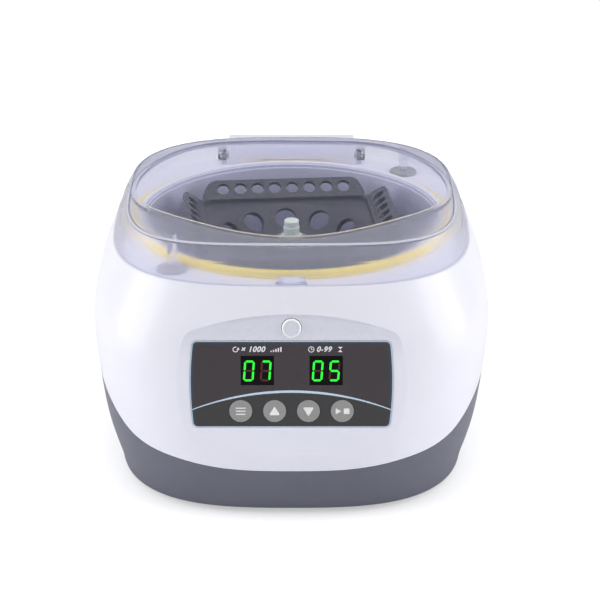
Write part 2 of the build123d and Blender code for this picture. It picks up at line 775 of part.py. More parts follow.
def bar_outline(digit_x, name):
    """Six-sided bar of one digit segment, pointed at both ends and slanted."""
    (x0, v0), (x1, v1) = BARS[name]
    length = math.hypot(x1 - x0, v1 - v0)
    along_x, along_v = (x1 - x0) / length, (v1 - v0) / length
    half = STROKE / 2
    near, far = BAR_GAP, length - BAR_GAP
    points = []
    for along, side in (
        (near, 0), (near + half, half), (far - half, half),
        (far, 0), (far - half, -half), (near + half, -half),
    ):
        x = x0 + along_x * along - along_v * side
        v = v0 + along_v * along + along_x * side
        points.append((digit_x + x + v * SLANT, DIGIT_V + v))
    return points


def bar_plates(outlines, thickness):
    """Thin plates on the display faces."""
    with BuildPart() as plates:
        with BuildSketch(facet(DISPLAY_FACE)):
            for outline in outlines:
                with BuildLine():
                    Polyline(*outline, close=True)
                make_face()
        extrude(amount=thickness)
    return plates.part


lit, unlit = [], []
for (display_x, _), reading in zip(DISPLAYS, READINGS):
    for offset, digit in zip((-DIGIT_OFFSET, DIGIT_OFFSET), reading):
        for name in BARS:
            group = lit if name in LIT_BARS[digit] else unlit
            group.append(bar_outline(display_x + offset, name))

save("digit_segments_lit", bar_plates(lit, 0.12))
save("digit_segments_unlit", bar_plates(unlit, 0.08))

for key_name, place in zip(("key_set", "key_up", "key_down", "key_start"), KEYS):
    with BuildPart() as key:
        with BuildSketch(facet(-5.0)):
            discs([place], KEY_R)
        extrude(amount=5.5)
        fillet(key.edges().filter_by(GeomType.CIRCLE).sort_by(Axis.Y)[0], 0.25)
        # retaining flange at the back
        with BuildSketch(facet(-5.4)):
            discs([place], KEY_R + 1.1)
        extrude(amount=1.1)
    save(key_name, key.part)

TACT_BODY_H = 2.4

with BuildPart() as tact_switches:
    with BuildSketch(facet(PCB_FRONT)):
        rectangles(KEYS, 6, 6)
    extrude(amount=TACT_BODY_H)
    with BuildSketch(facet(PCB_FRONT + TACT_BODY_H)):
        discs(KEYS, 1.7)
    extrude(amount=0.55)
save("tact_switches", tact_switches.part)

with BuildPart() as control_pcb:
    with BuildSketch(facet(PCB_BACK)):
        with Locations((0, 0.25)):
            RectangleRounded(93, 40.5, 1.5)
        discs(PCB_SCREWS, 1.4, mode=Mode.SUBTRACT)
    extrude(amount=PCB_T)
save("control_pcb", control_pcb.part)

CHIP_T = 1.6

with BuildPart() as control_chips:
    with BuildSketch(facet(PCB_BACK - CHIP_T)):
        rectangles([(-2, 4)], 12, 9)
        rectangles([(-26, 2), (24, 6)], 8, 5)
        rectangles([(-30, -14)], 12, 5)
    extrude(amount=CHIP_T)
save("control_chips", control_chips.part)

PCB_HEAD_H = 1.6
save("pcb_screws", stacked_discs(
    PCB_SCREWS, [(PCB_BACK - PCB_HEAD_H, 2.2, PCB_HEAD_H), (PCB_BACK, 1.05, 5.4)],
    plane_at=facet,
))

# --------------------------------------------------------------------- rotor
CONE_DROP = 70.0  # the cone's upper face follows z = radius + CONE_DROP
CONE_R0 = 22.0
TRAY_UNDER = 107.2
TRAY_FLOOR = 109.4
TRAY_Z = 111.5
CONE_R1 = TRAY_FLOOR - CONE_DROP
TRAY_HALF = 43.4
TRAY_RIM = 1.7
POCKET_HALF = 42.6
ROTOR_BORE_R = 8.02
ROTOR_POST_R = 12.0
ROTOR_BOTTOM = 88.0
ROTOR_POST_TOP = 106.0
ROTOR_TURN = 5.0  # degrees about Z at rest
TUBE_COUNT = 12
TUBE_HOLE_R = 5.5
TUBE_RING_R = 33.6
TUBE_CUT_BELOW = 5.0  # the cut starts this far under the cone's face
TUBE_CUT_L = 9.0
STRIP_HOLES = 8
STRIP_HOLE_R = 3.25
STRIP_PITCH = 9.0

# raised strip holders: local x along the edge, local y outwards and up the wing
WING_RUN, WING_RISE = 8.5, 7.1
WING_T = 2.2
WING_LEN = math.hypot(WING_RUN, WING_RISE)
WING_COS, WING_SIN = WING_RUN / WING_LEN, WING_RISE / WING_LEN
WING = [
    (-41.0, -0.9), (41.0, -0.9), (42.2, 2.4), (38.4, WING_LEN),
    (-38.4, WING_LEN), (-42.2, 2.4),
]
WING_HOLES = [
    ((i - (STRIP_HOLES - 1) / 2) * STRIP_PITCH, WING_LEN * 0.52) for i in range(STRIP_HOLES)
]

# conical dish with its hub post
rotor_dish = turned([
    (ROTOR_BORE_R, ROTOR_BOTTOM), (22.0, ROTOR_BOTTOM), (41.0, TRAY_UNDER),
    (42.0, TRAY_UNDER), (42.0, TRAY_FLOOR), (CONE_R1, TRAY_FLOOR),
    (CONE_R0, CONE_R0 + CONE_DROP), (ROTOR_POST_R, CONE_R0 + CONE_DROP),
    (ROTOR_POST_R, ROTOR_POST_TOP), (ROTOR_BORE_R, ROTOR_POST_TOP),
])

with BuildPart() as rotor:
    add(rotor_dish)
    # square tray round the dish
    with BuildSketch(level(TRAY_UNDER)):
        RectangleRounded(2 * (TRAY_HALF + TRAY_RIM), 2 * (TRAY_HALF + TRAY_RIM), 7.0)
        Circle(40.5, mode=Mode.SUBTRACT)
    extrude(amount=TRAY_Z - TRAY_UNDER)
    # four raised strip holders
    for k in range(4):
        c, s = polar(1, 90 * k)
        wing_plane = Plane(
            origin=(TRAY_HALF * c, TRAY_HALF * s, TRAY_Z),
            x_dir=(s, -c, 0),
            z_dir=(-WING_SIN * c, -WING_SIN * s, WING_COS),
        )
        with BuildSketch(wing_plane) as wing:
            with BuildLine():
                Polyline(*WING, close=True)
            make_face()
            fillet(wing.vertices().group_by(Axis.Y)[-1], 6.0)
            discs(WING_HOLES, STRIP_HOLE_R, mode=Mode.SUBTRACT)
        extrude(amount=-WING_T)
    # square pocket inside the strip holders, one step below their feet
    with BuildSketch(level(TRAY_FLOOR)):
        RectangleRounded(2 * POCKET_HALF, 2 * POCKET_HALF, 6.0)
    extrude(amount=TRAY_Z - TRAY_FLOOR + 3, mode=Mode.SUBTRACT)
    # hub post at full height
    with BuildSketch(level(ROTOR_BOTTOM)):
        Circle(ROTOR_POST_R)
        Circle(ROTOR_BORE_R, mode=Mode.SUBTRACT)
    extrude(amount=ROTOR_POST_TOP - ROTOR_BOTTOM)
    # angled tube holes, square to the cone
    for k in range(TUBE_COUNT):
        c, s = polar(1, 360 / TUBE_COUNT * k)
        slope = math.sqrt(0.5)
        start_r = TUBE_RING_R + TUBE_CUT_BELOW * slope
        start_z = TUBE_RING_R + CONE_DROP - TUBE_CUT_BELOW * slope
        hole_plane = Plane(
            origin=(start_r * c, start_r * s, start_z),
            z_dir=(-slope * c, -slope * s, slope),
        )
        with BuildSketch(hole_plane):
            Circle(TUBE_HOLE_R)
        extrude(amount=TUBE_CUT_L, mode=Mode.SUBTRACT)
save("rotor", Rot(0, 0, ROTOR_TURN) * rotor.part)

SHAFT_R = 3.0
HUB_BORE_R = SHAFT_R + 0.02
HUB_TOP = 105.98
HUB_SHOULDER = 87.98
save("rotor_hub", turned([
    (HUB_BORE_R, 84.0), (7.0, 84.0), (11.0, 86.0), (11.0, HUB_SHOULDER),
    (8.0, HUB_SHOULDER), (8.0, HUB_TOP), (HUB_BORE_R, HUB_TOP),
]))

knob_body = turned([
    (2.06, 106.1), (5.4, 106.1), (5.4, 107.0), (5.0, 107.4), (4.4, 107.4), (4.1, 108.0),
    (4.1, 111.6), (3.7, 112.0), (3.7, 114.8), (3.3, 115.2), (0, 115.2), (0, 112.9),
    (2.06, 112.9),
])

with BuildPart() as rotor_knob:
    add(knob_body)
    # finger flutes round the flange
    with BuildSketch(level(106)):
        with PolarLocations(5.9, 10):
            Circle(0.9)
    extrude(amount=3.4, mode=Mode.SUBTRACT)
save("rotor_knob", rotor_knob.part)

save("motor_shaft", turned([
    (0, 11.0), (SHAFT_R, 11.0), (SHAFT_R, 103.6), (2.0, 104.6), (2.0, 112.0),
    (1.5, 112.5), (0, 112.5),
]))

# --------------------------------------------------------------------- motor
CAN_R = 21.0
CAN_RI = 19.6
CAN_BOTTOM = 16.0
CAN_TOP = 53.0
BEARING_SEAT_R = 6.5
BEARING_CUP_R = 8.5
PLATE_T = 2.0
PLATE_TOP = CAN_TOP + PLATE_T

with BuildPart() as motor_magnet:
    with BuildSketch(level(23)):
        Circle(9.6)
        Circle(SHAFT_R + 0.02, mode=Mode.SUBTRACT)
    extrude(amount=21)
save("motor_magnet", motor_magnet.part)

can_wall = turned([
    (CAN_R, CAN_BOTTOM), (CAN_R, 52.0), (20.0, CAN_TOP), (BEARING_SEAT_R, CAN_TOP),
    (BEARING_SEAT_R, 47.0), (BEARING_CUP_R, 47.0), (BEARING_CUP_R, 51.5),
    (CAN_RI, 51.5), (CAN_RI, CAN_BOTTOM),
])

with BuildPart() as motor_can:
    add(can_wall)
    with BuildSketch(level(50)):
        discs(MOTOR_SCREWS, 1.5)
    extrude(amount=4, mode=Mode.SUBTRACT)
save("motor_can", motor_can.part)

save("motor_end_cap", turned([
    (3.6, 13.5), (20.0, 13.5), (CAN_R, 14.3), (CAN_R, CAN_BOTTOM),
    (BEARING_CUP_R, CAN_BOTTOM), (BEARING_CUP_R, 20.0), (BEARING_SEAT_R, 20.0),
    (BEARING_SEAT_R, 15.0), (3.6, 15.0),
]))

with BuildPart() as motor_bearings:
    for z in (15.2, 48.0):
        with BuildSketch(level(z)):
            Circle(BEARING_SEAT_R - 0.02)
            Circle(SHAFT_R + 0.03, mode=Mode.SUBTRACT)
        extrude(amount=4.0)
save("motor_bearings", motor_bearings.part)

# outer ring with six poles: a wide neck and a shoe across each inner end
POLES = 6
POLE_R = 13.5
POLE_L, POLE_W = 6.4, 4.6

with BuildPart() as motor_stator:
    with BuildSketch(level(22)):
        Circle(CAN_RI - 0.05)
        Circle(16.2, mode=Mode.SUBTRACT)
        with PolarLocations(POLE_R, POLES):
            Rectangle(POLE_L, POLE_W)
        with PolarLocations(11.0, POLES):
            Rectangle(1.8, 8.4)
    extrude(amount=23)
save("motor_stator", motor_stator.part)

# one block round each pole, cut to clear the pole
with BuildPart() as motor_coils:
    with BuildSketch(level(20.8)):
        with PolarLocations(14.1, POLES):
            Rectangle(3.0, 8.6)
    extrude(amount=25.4)
    with BuildSketch(level(21.9)):
        with PolarLocations(POLE_R, POLES):
            Rectangle(POLE_L + 0.2, POLE_W + 0.2)
    extrude(amount=23.2, mode=Mode.SUBTRACT)
    fillet(motor_coils.edges().group_by(Axis.Z)[-1], 0.5)
save("motor_coils", motor_coils.part)

with BuildPart() as motor_mount_plate:
    with BuildSketch(level(CAN_TOP)):
        Circle(47)
        Circle(9.0, mode=Mode.SUBTRACT)
        discs(POSTS, 2.2, mode=Mode.SUBTRACT)
        discs(MOTOR_SCREWS, 1.6, mode=Mode.SUBTRACT)
        # three large holes between the posts
        discs([polar(32, angle) for angle in (30, 150, 270)], 9, mode=Mode.SUBTRACT)
    extrude(amount=PLATE_T)
save("motor_mount_plate", motor_mount_plate.part)

DAMPER_R = 7.5
DAMPER_NECK_R = 5.6
DAMPER_FLANGE_T = 4.5
DAMPER_NECK_L = 4.0

damper_bodies = stacked_discs(POSTS, [
    (POST_TOP, DAMPER_R, DAMPER_FLANGE_T),
    (POST_TOP + DAMPER_FLANGE_T, DAMPER_NECK_R, DAMPER_NECK_L),
    (CAN_TOP - DAMPER_FLANGE_T, DAMPER_R, DAMPER_FLANGE_T),
])

with BuildPart() as vibration_dampers:
    add(damper_bodies)
    with BuildSketch(level(POST_TOP - 1)):
        discs(POSTS, 2.1)
    extrude(amount=15, mode=Mode.SUBTRACT)
save("vibration_dampers", vibration_dampers.part)

save("damper_screws", stacked_discs(POSTS, [(30, 2.0, PLATE_TOP - 30), (PLATE_TOP, 3.6, 2.6)]))
save("motor_screws", stacked_discs(
    MOTOR_SCREWS, [(49, 1.45, PLATE_TOP - 49), (PLATE_TOP, 2.7, 1.8)]
))

# pleated sleeve between the mount plate and the bowl
save("shaft_boot", turned([
    (6.8, PLATE_TOP), (10.6, PLATE_TOP), (10.6, 56.0), (8.6, 57.0), (10.2, 58.2),
    (8.6, 59.4), (10.4, 60.8), (10.4, BOWL_BOTTOM), (6.8, BOWL_BOTTOM), (6.8, 61.2),
    (8.8, 60.6), (7.2, 59.4), (8.8, 58.2), (7.2, 57.0), (8.8, 56.2), (6.8, 55.8),
]))

# -------------------------------------------------------------- power supply
BOARD_T = 1.6
BOARD_TOP = BOARD_Z + BOARD_T
TRANSFORMER = (-64, 8)

with BuildPart() as power_board:
    with BuildSketch(level(BOARD_Z)):
        with Locations((-63, 0)):
            RectangleRounded(33, 80, 1.5)
        discs(BOARD_SCREWS, 1.3, mode=Mode.SUBTRACT)
    extrude(amount=BOARD_T)
save("power_board", power_board.part)

save("board_screws", stacked_discs(
    BOARD_SCREWS, [(7.2, 1.05, BOARD_TOP - 7.2), (BOARD_TOP, 2.2, 1.4)]
))

with BuildPart() as transformer:
    # base, core and winding: bottom, x size, y size, height
    for bottom, size_x, size_y, height in (
        (BOARD_TOP, 20, 22, 3),
        (BOARD_TOP + 3, 16, 24, 13),
        (BOARD_TOP + 5, 22, 12, 9),
    ):
        with BuildSketch(level(bottom)):
            rectangles([TRANSFORMER], size_x, size_y)
        extrude(amount=height)
save("transformer", transformer.part)

with BuildPart() as capacitors:
    with BuildSketch(level(BOARD_TOP)):
        discs([(-66, -14)], 7.0)
    extrude(amount=25)
    with BuildSketch(level(BOARD_TOP)):
        discs([(-54, -20), (-54, -9)], 4.0)
    extrude(amount=14)
    # top rims only
    chamfer(
        capacitors.faces().filter_by(Axis.Z).edges().filter_by(lambda e: e.center().Z > 20),
        0.6,
    )
save("capacitors", capacitors.part)

# upright plate with three fins
with BuildPart() as heat_sink:
    with BuildSketch(level(BOARD_TOP)):
        rectangles([(-75, -14)], 1.6, 26)
        rectangles([(-73.2, y) for y in (-26, -22, -6)], 2.4, 1.0)
    extrude(amount=20)
save("heat_sink", heat_sink.part)

with BuildPart() as board_connectors:
    with BuildSketch(level(BOARD_TOP)):
        rectangles([(-56, 28), (-68, 28)], 10, 7)
        rectangles([(-64, -31)], 14, 6)
    extrude(amount=8)
save("board_connectors", board_connectors.part)

# ---------------------------------------------------------------- rear panel
INLET = (16, PANEL_Z)
INLET_W, INLET_H = 27.0, 19.2
INLET_FRONT = 77.0  # y of the inlet body's inner end
INLET_PINS = [(9, PANEL_Z), (16, 34), (23, PANEL_Z)]
INLET_PIN_W, INLET_PIN_H = 2.0, 4.0
SWITCH = (-20, PANEL_Z)
SWITCH_X = -SWITCH[0]
SWITCH_FRONT = 80.0
SWITCH_W, SWITCH_H = 12.8, 19.2
ROCKER_Y = 92.0  # pivot, along X at PANEL_Z
ROCKER_R = 8.6
ROCKER_HALF = 5.0
ROCKER_TILT = 10.0
PIVOT_HALF = 5.9

with BuildPart() as rear_panel:
    with BuildSketch(rear(REAR_Y - PANEL_T)):
        with Locations(PANEL):
            RectangleRounded(73.8, 33.8, 2)
        rectangles([INLET], INLET_W + 0.4, INLET_H + 0.4, mode=Mode.SUBTRACT)
        rectangles([SWITCH], SWITCH_W + 0.2, SWITCH_H + 0.2, mode=Mode.SUBTRACT)
        discs(PANEL_SCREWS, 1.4, mode=Mode.SUBTRACT)
    extrude(amount=PANEL_T)
save("rear_panel", rear_panel.part)

with BuildPart() as rear_panel_screws:
    # heads with a cross slot
    with BuildSketch(rear(REAR_Y)):
        with Locations(*PANEL_SCREWS):
            Circle(2.3)
            Rectangle(2.6, 0.5, mode=Mode.SUBTRACT)
            Rectangle(0.5, 2.6, mode=Mode.SUBTRACT)
    extrude(amount=1.2)
    with BuildSketch(rear(REAR_Y - 4.2)):
        discs(PANEL_SCREWS, 1.05)
    extrude(amount=4.5)
save("rear_panel_screws", rear_panel_screws.part)

with BuildPart() as power_inlet:
    # flange and body
    with BuildSketch(rear(REAR_Y)):
        with Locations(INLET):
            RectangleRounded(31, 24, 2)
    extrude(amount=2)
    with BuildSketch(rear(INLET_FRONT)):
        rectangles([INLET], INLET_W, INLET_H)
    extrude(amount=REAR_Y - INLET_FRONT)
    # socket, then holes for the pins
    with BuildSketch(rear(INLET_FRONT + 3)):
        rectangles([INLET], 24.0, 16.0)
    extrude(amount=17, mode=Mode.SUBTRACT)
    with BuildSketch(rear(INLET_FRONT - 1)):
        rectangles(INLET_PINS, INLET_PIN_W + 0.06, INLET_PIN_H + 0.06)
    extrude(amount=5, mode=Mode.SUBTRACT)
save("power_inlet", power_inlet.part)

with BuildPart() as inlet_pins:
    with BuildSketch(rear(71)):
        rectangles(INLET_PINS, INLET_PIN_W, INLET_PIN_H)
    extrude(amount=21)
save("inlet_pins", inlet_pins.part)

with BuildPart() as power_switch_body:
    with BuildSketch(rear(REAR_Y)):
        with Locations(SWITCH):
            RectangleRounded(15.4, 21.4, 1.0)
    extrude(amount=1.5)
    with BuildSketch(rear(SWITCH_FRONT)):
        rectangles([SWITCH], SWITCH_W, SWITCH_H)
    extrude(amount=REAR_Y - SWITCH_FRONT)
    # room for the rocker and its pivot: radius, half width
    for radius, half_width in ((ROCKER_R + 0.2, ROCKER_HALF + 0.25), (1.1, PIVOT_HALF + 0.1)):
        with BuildSketch(across(SWITCH_X - half_width, ROCKER_Y, PANEL_Z)):
            Circle(radius)
        extrude(amount=2 * half_width, mode=Mode.SUBTRACT)
save("power_switch_body", power_switch_body.part)

with BuildPart() as power_rocker:
    with BuildSketch(across(SWITCH_X - ROCKER_HALF, ROCKER_Y, PANEL_Z)):
        Circle(ROCKER_R)
        # shallow V that leaves the rear face dished
        with BuildLine():
            Polyline((2.6, 0), (4.6, 10), (12, 10), (12, -10), (4.6, -10), close=True)
        make_face(mode=Mode.SUBTRACT)
    extrude(amount=2 * ROCKER_HALF)
    with BuildSketch(across(SWITCH_X - PIVOT_HALF, ROCKER_Y, PANEL_Z)):
        Circle(1.0)
    extrude(amount=2 * PIVOT_HALF)
rocker_tilt = Pos(0, ROCKER_Y, PANEL_Z) * Rot(ROCKER_TILT, 0, 0) * Pos(0, -ROCKER_Y, -PANEL_Z)
save("power_rocker", rocker_tilt * power_rocker.part)

# -------------------------------------------------------------------- wiring
LEAD_R = 0.9
LEADS = [  # (x, y, z) along each lead
    # inlet pin to board connector
    [(-9, 70.6, 31), (-14, 62, 30), (-40, 52, 26), (-56, 40, 25), (-56, 29, 21.8)],
    # power switch to board connector
    [(20, 79.6, 31), (16, 70, 34), (-20, 58, 38), (-60, 48, 32), (-68, 34, 25),
     (-68, 29, 21.8)],
    # front board connector up towards the control board
    [(-64, -31, 21.8), (-62, -38, 30), (-48, -62, 42), (-34, -80, 50), (-30, -86.2, 53.6)],
    # power board to motor
    [(-45.6, 0, 16), (-38, 0, 20), (-30, 0, 22), (-21.2, 0, 24)],
]

with BuildPart() as wiring:
    for route in LEADS:
        with BuildLine() as lead:
            Spline(*route)
        path = lead.wires()[0]
        with BuildSketch(Plane(origin=path @ 0, z_dir=path % 0)):
            Circle(LEAD_R)
        sweep(path=path)
save("wiring", wiring.part)
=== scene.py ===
import json
import math

import bmesh
import bpy
import numpy as np
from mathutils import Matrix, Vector


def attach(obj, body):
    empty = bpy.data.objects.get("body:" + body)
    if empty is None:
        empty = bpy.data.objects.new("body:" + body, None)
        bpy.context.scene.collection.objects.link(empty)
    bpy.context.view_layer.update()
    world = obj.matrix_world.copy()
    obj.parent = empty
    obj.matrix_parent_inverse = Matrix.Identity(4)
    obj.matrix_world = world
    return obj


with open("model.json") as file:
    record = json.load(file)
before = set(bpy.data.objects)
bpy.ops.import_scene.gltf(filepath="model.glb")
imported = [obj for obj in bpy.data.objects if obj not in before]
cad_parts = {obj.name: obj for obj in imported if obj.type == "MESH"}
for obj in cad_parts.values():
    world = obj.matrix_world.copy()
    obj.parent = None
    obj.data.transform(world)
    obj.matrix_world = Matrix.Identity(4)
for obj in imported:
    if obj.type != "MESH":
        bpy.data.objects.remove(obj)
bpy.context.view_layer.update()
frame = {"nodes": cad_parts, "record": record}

scene = bpy.context.scene
MM = 0.001

# ------------------------------------------------------------------ helpers
def lin(r, g, b, a=1.0):
    """8-bit sRGB to linear colour."""
    def f(v):
        v /= 255.0
        return v / 12.92 if v <= 0.04045 else ((v + 0.055) / 1.055) ** 2.4
    return (f(r), f(g), f(b), a)


class Nodes:
    """Small helper round a material's node tree."""

    def __init__(self, name):
        self.mat = bpy.data.materials.new(name)
        self.mat.use_nodes = True
        self.tree = self.mat.node_tree
        self.tree.nodes.clear()
        self.out = self.add("ShaderNodeOutputMaterial")

    def add(self, kind, **values):
        node = self.tree.nodes.new(kind)
        for key, value in values.items():
            if hasattr(node, key):
                setattr(node, key, value)
            else:
                node.inputs[key.replace("_", " ")].default_value = value
        return node

    def link(self, a, b):
        self.tree.links.new(a, b)

    def math(self, op, a, b=None, clamp=False):
        node = self.add("ShaderNodeMath", operation=op, use_clamp=clamp)
        for i, v in enumerate((a, b)):
            if v is None:
                continue
            if isinstance(v, (int, float)):
                node.inputs[i].default_value = v
            else:
                self.link(v, node.inputs[i])
        return node.outputs[0]

    def mix(self, fac, a, b):
        node = self.add("ShaderNodeMix", data_type="RGBA")
        for i, v in ((0, fac), (6, a), (7, b)):
            if isinstance(v, (int, float)):
                node.inputs[i].default_value = v
            elif isinstance(v, tuple):
                node.inputs[i].default_value = v
            else:
                self.link(v, node.inputs[i])
        return node.outputs[2]

    def coords(self):
        return self.add("ShaderNodeTexCoord").outputs["Object"]

    def noise(self, scale, detail=2.0, rough=0.5, vec=None):
        node = self.add("ShaderNodeTexNoise")
        node.inputs["Scale"].default_value = scale
        node.inputs["Detail"].default_value = detail
        node.inputs["Roughness"].default_value = rough
        self.link(vec or self.coords(), node.inputs["Vector"])
        return node.outputs["Fac"]

    def ramp(self, fac, lo, hi, out_lo=0.0, out_hi=1.0):
        node = self.add("ShaderNodeMapRange")
        node.inputs["From Min"].default_value = lo
        node.inputs["From Max"].default_value = hi
        node.inputs["To Min"].default_value = out_lo
        node.inputs["To Max"].default_value = out_hi
        self.link(fac, node.inputs["Value"])
        return node.outputs["Result"]


def plastic(name, color, rough=0.35, var=0.04, grain=0.0, grain_scale=3500.0, bevel=0.35, metallic=0.0,
            coat=0.0, spec=0.5, rough_var=0.06, sss=0.0, alt=None, painted_shade=None):
    """Moulded or machined surface: slow colour drift, fine grain in bump and roughness, softened edges; painted_shade,
    when given, paints shade by moving the colour to a darker tone with height.
    """
    n = Nodes(name)
    bsdf = n.add("ShaderNodeBsdfPrincipled")
    vec = n.coords()
    slow = n.noise(28.0, 3.0, 0.55, vec)
    fine = n.noise(grain_scale, 2.0, 0.6, vec)
    alt = alt or tuple(max(0.0, c * (1.0 - 2.2 * var)) for c in color[:3]) + (1.0,)
    fac = n.ramp(slow, 0.32, 0.68)
    col = n.mix(fac, color, alt)
    # painted shade: the colour moves to the given darker tone between two heights
    if painted_shade:
        sep = n.add("ShaderNodeSeparateXYZ")
        n.link(vec, sep.inputs[0])
        col = n.mix(n.ramp(sep.outputs["Z"], painted_shade[0], painted_shade[1]), col, painted_shade[2])
    speck = n.ramp(fine, 0.2, 0.8, 1.0 - var * 0.6, 1.0 + var * 0.6)
    hsv = n.add("ShaderNodeHueSaturation")
    n.link(col, hsv.inputs["Color"])
    n.link(speck, hsv.inputs["Value"])
    n.link(hsv.outputs["Color"], bsdf.inputs["Base Color"])
    n.link(n.ramp(n.noise(160.0, 4.0, 0.6, vec), 0.3, 0.7, max(0.02, rough - rough_var), rough + rough_var), bsdf.inputs["Roughness"])
    bsdf.inputs["Metallic"].default_value = metallic
    bsdf.inputs["Specular IOR Level"].default_value = spec
    bsdf.inputs["Coat Weight"].default_value = coat
    bsdf.inputs["Coat Roughness"].default_value = 0.12
    if sss:
        bsdf.inputs["Subsurface Weight"].default_value = sss
        bsdf.inputs["Subsurface Radius"].default_value = (1.0, 1.0, 1.0)
        bsdf.inputs["Subsurface Scale"].default_value = 0.002
    bump = n.add("ShaderNodeBump")
    bump.inputs["Strength"].default_value = max(grain, 0.01)
    bump.inputs["Distance"].default_value = 0.0002
    n.link(fine, bump.inputs["Height"])
    if bevel:
        soft = n.add("ShaderNodeBevel", samples=4)
        soft.inputs["Radius"].default_value = bevel * MM
        n.link(soft.outputs["Normal"], bump.inputs["Normal"])
    n.link(bump.outputs["Normal"], bsdf.inputs["Normal"])
    n.link(bsdf.outputs[0], n.out.inputs["Surface"])
    return n.mat


def clear_plastic(name, tint, rough, haze=0.0, milk=0.0, milk_color=(0.9, 0.9, 0.95, 1.0), gloss=0.5, veil=1.0):
    """Clear moulding: refracts for the camera, lets light and shadow rays pass, with a faint milkiness."""
    n = Nodes(name)
    vec = n.coords()
    glass = n.add("ShaderNodeBsdfPrincipled")
    glass.inputs["Base Color"].default_value = tint
    glass.inputs["Transmission Weight"].default_value = 1.0
    glass.inputs["IOR"].default_value = 1.45
    glass.inputs["Specular IOR Level"].default_value = gloss
    n.link(n.ramp(n.noise(240.0, 3.0, 0.6, vec), 0.3, 0.7, max(0.0, rough - haze), rough + haze), glass.inputs["Roughness"])
    bump = n.add("ShaderNodeBump")
    bump.inputs["Strength"].default_value = 0.02
    bump.inputs["Distance"].default_value = 0.0002
    n.link(n.noise(90.0, 2.0, 0.5, vec), bump.inputs["Height"])
    n.link(bump.outputs["Normal"], glass.inputs["Normal"])
    shader = glass.outputs[0]
    if veil < 1.0:
        bend = n.add("ShaderNodeBsdfRefraction")
        bend.inputs["Color"].default_value = tint
        bend.inputs["Roughness"].default_value = rough
        bend.inputs["IOR"].default_value = 1.45
        blend = n.add("ShaderNodeMixShader")
        blend.inputs[0].default_value = veil
        n.link(bend.outputs[0], blend.inputs[1])
        n.link(shader, blend.inputs[2])
        shader = blend.outputs[0]
    if milk:
        film = n.add("ShaderNodeBsdfPrincipled")
        film.inputs["Base Color"].default_value = milk_color
        film.inputs["Roughness"].default_value = 0.35
        mixed = n.add("ShaderNodeMixShader")
        mixed.inputs[0].default_value = milk
        n.link(shader, mixed.inputs[1])
        n.link(film.outputs[0], mixed.inputs[2])
        shader = mixed.outputs[0]
    passing = n.add("ShaderNodeBsdfTransparent")
    passing.inputs["Color"].default_value = tuple(0.35 + 0.65 * c for c in tint[:3]) + (1.0,)
    path = n.add("ShaderNodeLightPath")
    fac = n.math("MAXIMUM", path.outputs["Is Shadow Ray"], path.outputs["Is Diffuse Ray"])
    both = n.add("ShaderNodeMixShader")
    n.link(fac, both.inputs[0])
    n.link(shader, both.inputs[1])
    n.link(passing.outputs[0], both.inputs[2])
    n.link(both.outputs[0], n.out.inputs["Surface"])
    return n.mat


def window_plastic(name, tint, sheen):
    """Polished flat sheet: bends the view a little, passes light, with a faint sheen that drifts over the sheet."""
    n = Nodes(name)
    vec = n.coords()
    through = n.add("ShaderNodeBsdfRefraction")
    through.inputs["Color"].default_value = tint
    through.inputs["Roughness"].default_value = 0.0
    through.inputs["IOR"].default_value = 1.45
    shine = n.add("ShaderNodeBsdfPrincipled")
    shine.inputs["Base Color"].default_value = (0.75, 0.76, 0.82, 1.0)
    shine.inputs["Metallic"].default_value = 1.0
    n.link(n.ramp(n.noise(60.0, 3.0, 0.6, vec), 0.3, 0.7, 0.02, 0.07), shine.inputs["Roughness"])
    both = n.add("ShaderNodeMixShader")
    n.link(n.ramp(n.noise(14.0, 2.0, 0.5, vec), 0.3, 0.7, sheen * 0.6, sheen * 1.4), both.inputs[0])
    n.link(through.outputs[0], both.inputs[1])
    n.link(shine.outputs[0], both.inputs[2])
    passing = n.add("ShaderNodeBsdfTransparent")
    passing.inputs["Color"].default_value = tint
    path = n.add("ShaderNodeLightPath")
    final = n.add("ShaderNodeMixShader")
    n.link(n.math("MAXIMUM", path.outputs["Is Shadow Ray"], path.outputs["Is Diffuse Ray"]), final.inputs[0])
    n.link(both.outputs[0], final.inputs[1])
    n.link(passing.outputs[0], final.inputs[2])
    n.link(final.outputs[0], n.out.inputs["Surface"])
    return n.mat


def glow(name, color, strength, edge=0.75):
    """Lit LED bar: emission that varies a little in strength over the bar, over a moulded diffuser."""
    n = Nodes(name)
    emit = n.add("ShaderNodeEmission")
    vec = n.coords()
    level = n.ramp(n.noise(900.0, 2.0, 0.5, vec), 0.3, 0.7, strength * 0.86, strength * 1.1)
    n.link(level, emit.inputs["Strength"])
    emit.inputs["Color"].default_value = color
    skin = n.add("ShaderNodeBsdfPrincipled")
    skin.inputs["Base Color"].default_value = tuple(c * 0.3 for c in color[:3]) + (1.0,)
    skin.inputs["Roughness"].default_value = 0.3
    both = n.add("ShaderNodeAddShader")
    n.link(emit.outputs[0], both.inputs[0])
    n.link(skin.outputs[0], both.inputs[1])
    n.link(both.outputs[0], n.out.inputs["Surface"])
    return n.mat


# ---------------------------------------------------------------- materials
TILT = math.radians(8.5)
FACET = (0.0, -97.9, 69.0)


def fpt(x, v, n=0.0):
    """Point on the front facet: x across, v up the slope, n out of the face (mm in, metres out)."""
    return Vector((
        x * MM,
        (FACET[1] + v * math.sin(TILT) - n * math.cos(TILT)) * MM,
        (FACET[2] + v * math.cos(TILT) + n * math.sin(TILT)) * MM,
    ))


